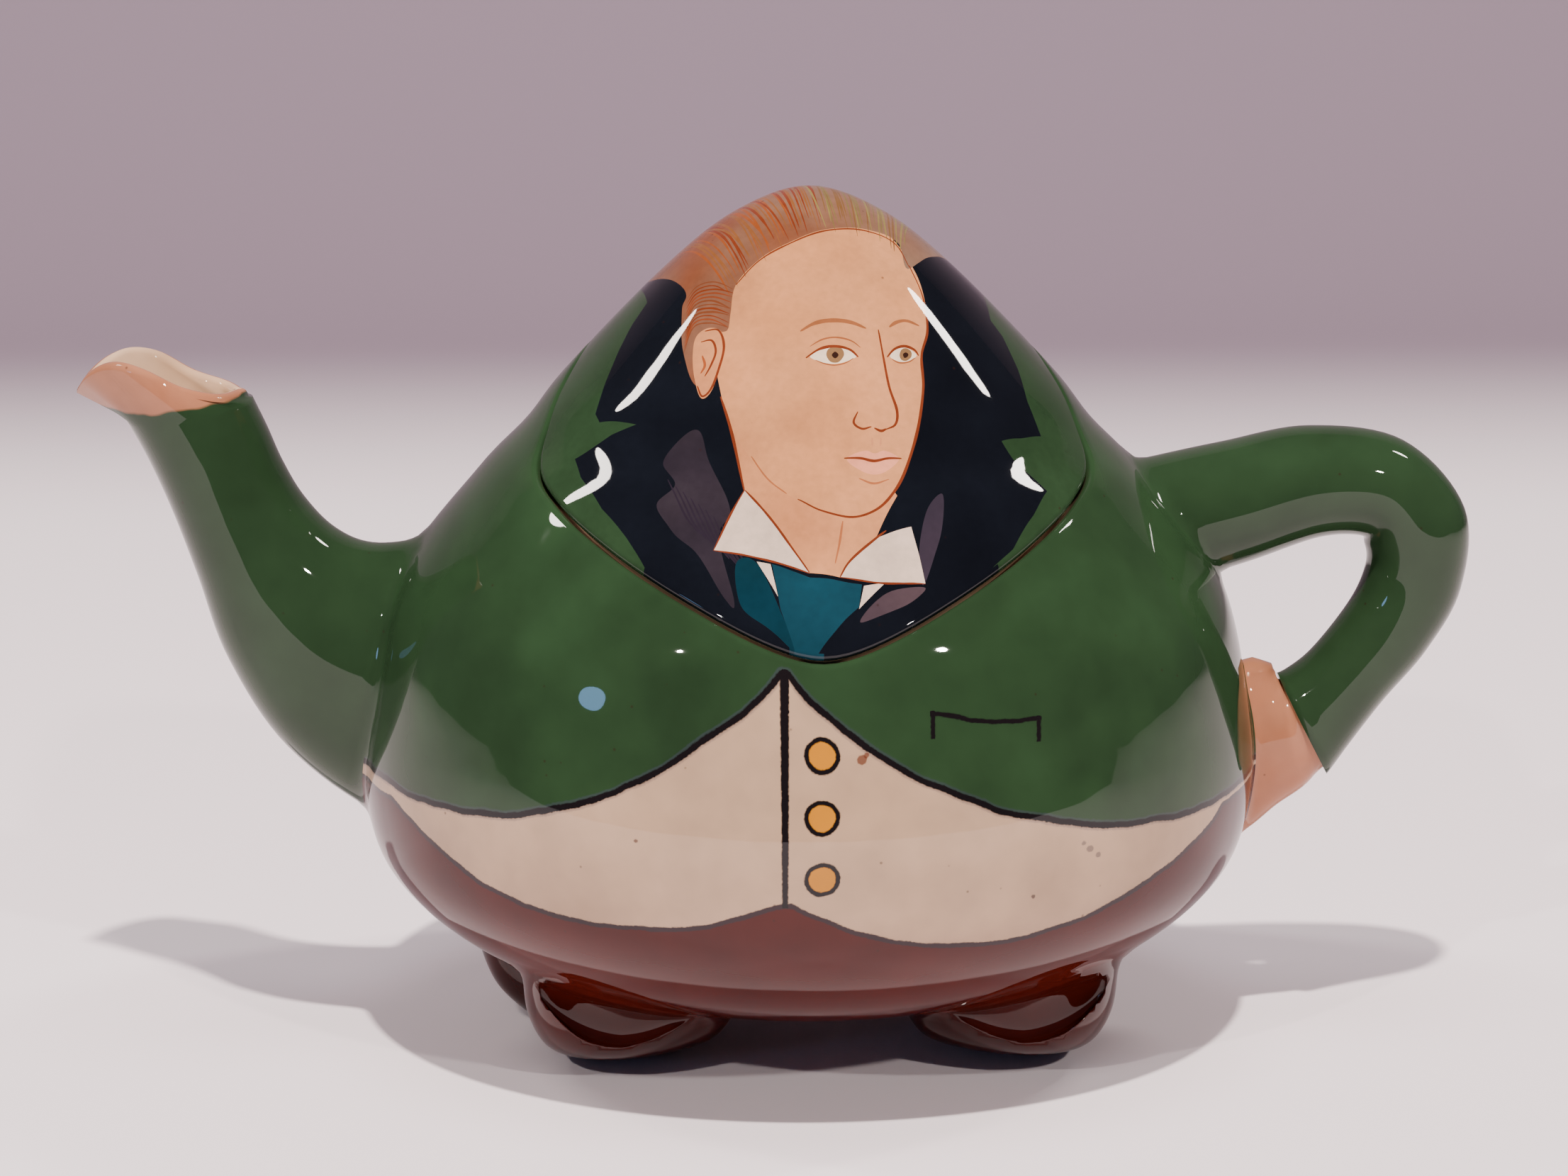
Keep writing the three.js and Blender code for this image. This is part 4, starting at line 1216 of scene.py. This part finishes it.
flange_inner = FLANGE_CLEARANCE + FLANGE_WALL
lip = 0.0006
under_rings = [
    (0, lid_seam_ring(EDGE_ROUND * (1 - math.cos(turn)),
                      SEAM_GAP + EDGE_ROUND * (1 - math.sin(turn))))
    for turn in (math.pi / 8, math.pi / 4, 3 * math.pi / 8, math.pi / 2)
] + [
    (1, lid_seam_ring(WALL + FLANGE_CLEARANCE, SEAM_GAP)),
    (1, flange_ring(FLANGE_CLEARANCE, lip)),
    (1, flange_ring(FLANGE_CLEARANCE, FLANGE_DEPTH - lip)),
    (1, flange_ring(FLANGE_CLEARANCE + lip, FLANGE_DEPTH)),
    (1, flange_ring(flange_inner - lip, FLANGE_DEPTH)),
    (1, flange_ring(flange_inner, FLANGE_DEPTH - lip)),
    (1, flange_ring(flange_inner, 0.0)),
] + [(1, lid_inner_ring(share)) for share in (0.84, 0.70, 0.56, 0.42, 0.29, 0.18, 0.09, 0.03)]
previous = rim
outer_count = len(lid_faces)
for tag, ring in under_rings:
    first = len(lid_points)
    lid_points.extend(ring)
    here = list(range(first, first + len(ring)))
    for side in range(len(rim)):
        following = (side + 1) % len(rim)
        lid_faces.append([previous[following], previous[side], here[side], here[following]])
        lid_tags.append(tag)
        face_shapes.append(None)
    previous = here
lid_points.append(Vector((BODY_AXIS_X, 0, POT_HEIGHT - LID_WALL)))
for side in range(len(rim)):
    lid_faces.append([previous[(side + 1) % len(rim)], previous[side], len(lid_points) - 1])
    lid_tags.append(1)
    face_shapes.append(None)

lid_mesh = bpy.data.meshes.new("lid_glazed")
lid_mesh.from_pydata(lid_points, [], lid_faces)
lid_mesh.polygons.foreach_set("material_index", lid_tags)
lid_mesh.polygons.foreach_set("use_smooth", [True] * len(lid_faces))
paint = lid_mesh.color_attributes.new("paint", "FLOAT_COLOR", "CORNER")
colours = [(GREEN, GREEN_SLEEVE)] + [(colour, second) for _, colour, second in paint_shapes]
rim_colour = {}
for face, shape in zip(lid_faces[:outer_count], face_shapes):
    for corner in face:
        rim_colour[corner] = shape
# Each paint drifts between its two colours in soft clouds and from side to side
for polygon, shape in zip(lid_mesh.polygons, face_shapes):
    if shape is None:
        row = (polygon.index - outer_count) % len(rim)
        shape = rim_colour.get(rim[row], 0)
    light, dark = (linear(code) for code in colours[shape])
    for corner in polygon.loop_indices:
        spot = lid_mesh.vertices[lid_mesh.loops[corner].vertex_index].co
        share = noise.noise(Vector(spot) * 120) * 0.45 + 0.5
        share += 0.25 * math.sin((BODY_AXIS_X - spot.x) * 60)
        share = min(max(share, 0.0), 1.0)
        paint.data[corner].color = [a + (b - a) * share for a, b in zip(light, dark)]
lid = as_object(lid_mesh)
lid.name = "lid_glazed"
inner_normals = [vertex.normal.copy() for vertex in lid_mesh.vertices[len(lid_normals):]]
lid_mesh.normals_split_custom_set_from_vertices(lid_normals + inner_normals)


def lid_paint(tree, place):
    colour = add(tree, "VertexColor", layer_name="paint")
    fine = add(tree, "TexNoise", {"Vector": place, "Scale": 1000 / 1.111, "Detail": 3.0})
    tone = add(tree, "MapRange", [fine, 0.3, 0.7, 0.93, 1.06])
    return add(tree, "HueSaturation", {"Color": colour, "Value": tone})


lid_mesh.materials.append(glazed("painted_earthenware_lid", lid_paint))
lid_mesh.materials.append(pot.data.materials[inside])
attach(lid, "root")
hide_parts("lid")


# The setting: a sheet of pale paper on a table that curves up behind the teapot. Its colour darkens
# from pale to lilac-grey towards the back and stays lilac-grey where it rises. The room in front is
# dim, and small lamps and a window are mirrored in the glaze. The key and the ceiling are broad, soft
# lights in the real room, so they leave no mirror image.
PAPER = "#fbf0f6"
FAR_PAPER_TONE = "#90808e"
FADE = (0.34, 0.62)
PAPER_FRONT = -0.36
PAPER_BACK = 0.60
PAPER_BEND = 0.30
PAPER_TOP = 1.4
PAPER_HALF_WIDTH = 1.3


def lamp(name, azimuth, elevation, distance, size, power, colour, tall=None, mirrored=True):
    """A lamp. Azimuth 0 is in front of the teapot, 90 by its handle."""
    turn, rise = math.radians(azimuth), math.radians(elevation)
    middle = Vector((BODY_AXIS_X, 0, 0.07))
    toward = Vector((math.sin(turn) * math.cos(rise), -math.cos(turn) * math.cos(rise),
                     math.sin(rise)))
    data = bpy.data.lights.new(name, "AREA")
    data.shape = "ELLIPSE"
    data.size = size
    data.size_y = tall or size
    data.energy = power
    data.color = linear(colour)[:3]
    holder = bpy.data.objects.new(name, data)
    holder.location = middle + toward * distance
    holder.rotation_euler = toward.to_track_quat("Z", "Y").to_euler()
    holder.visible_glossy = mirrored
    bpy.context.scene.collection.objects.link(holder)


def paper_mesh():
    profile = [(PAPER_FRONT, 0.0), (PAPER_BACK, 0.0)]
    for step in range(1, 13):
        turn = math.pi / 2 * step / 12
        profile.append((PAPER_BACK + PAPER_BEND * math.sin(turn), PAPER_BEND * (1 - math.cos(turn))))
    profile.append((PAPER_BACK + PAPER_BEND, PAPER_TOP))
    points = [(x, y, z) for y, z in profile for x in (-PAPER_HALF_WIDTH, PAPER_HALF_WIDTH)]
    faces = [(2 * i, 2 * i + 1, 2 * i + 3, 2 * i + 2) for i in range(len(profile) - 1)]
    mesh = bpy.data.meshes.new("paper")
    mesh.from_pydata(points, [], faces)
    mesh.polygons.foreach_set("use_smooth", [True] * len(faces))
    return mesh


paper = as_object(paper_mesh())
paper_material = bpy.data.materials.new("pale_paper")
paper_material.use_nodes = True
tree = paper_material.node_tree
tree.nodes.clear()
axes = add(tree, "SeparateXYZ", [add(tree, "TexCoord").outputs["Object"]]).outputs
# The paper's colour darkens from pale to lilac-grey between 0.34 and 0.62 m behind the teapot's middle,
# and stays lilac-grey up the bend
fade = add(tree, "MapRange", [axes[1], *FADE], interpolation_type="SMOOTHSTEP")
tone = add(tree, "Mix", {"Factor": fade, 6: linear(PAPER), 7: linear(FAR_PAPER_TONE)}, data_type="RGBA")
shader = add(tree, "BsdfPrincipled", {
    "Base Color": tone, "Roughness": 0.75, "Specular IOR Level": 0.2,
})
add(tree, "OutputMaterial", {"Surface": shader})
paper.data.materials.append(paper_material)

world = bpy.data.worlds.new("room")
world.use_nodes = True
world.node_tree.nodes["Background"].inputs[0].default_value = linear("#8a8290")
world.node_tree.nodes["Background"].inputs[1].default_value = 0.28
bpy.context.scene.world = world
lamp("key", 0, 65, 1.46, 0.05, 34.0, "#fff3ea", mirrored=False)
lamp("left_front", -34, 31, 1.3, 0.03, 5.0, "#fff6ee")
lamp("right_front", 33, 31, 1.3, 0.05, 6.0, "#fff6ee")
lamp("ceiling", 0, 85, 1.5, 0.6, 6.0, "#f6f0f6", mirrored=False)
lamp("left_lamp", -104, 45, 1.0, 0.075, 3.0, "#fff6ee", tall=0.22)
lamp("right_lamp", 103, 47, 1.0, 0.07, 3.0, "#fff6ee", tall=0.18)
lamp("window", -52, 8, 1.1, 0.14, 0.6, "#8fc2ff", tall=0.11)
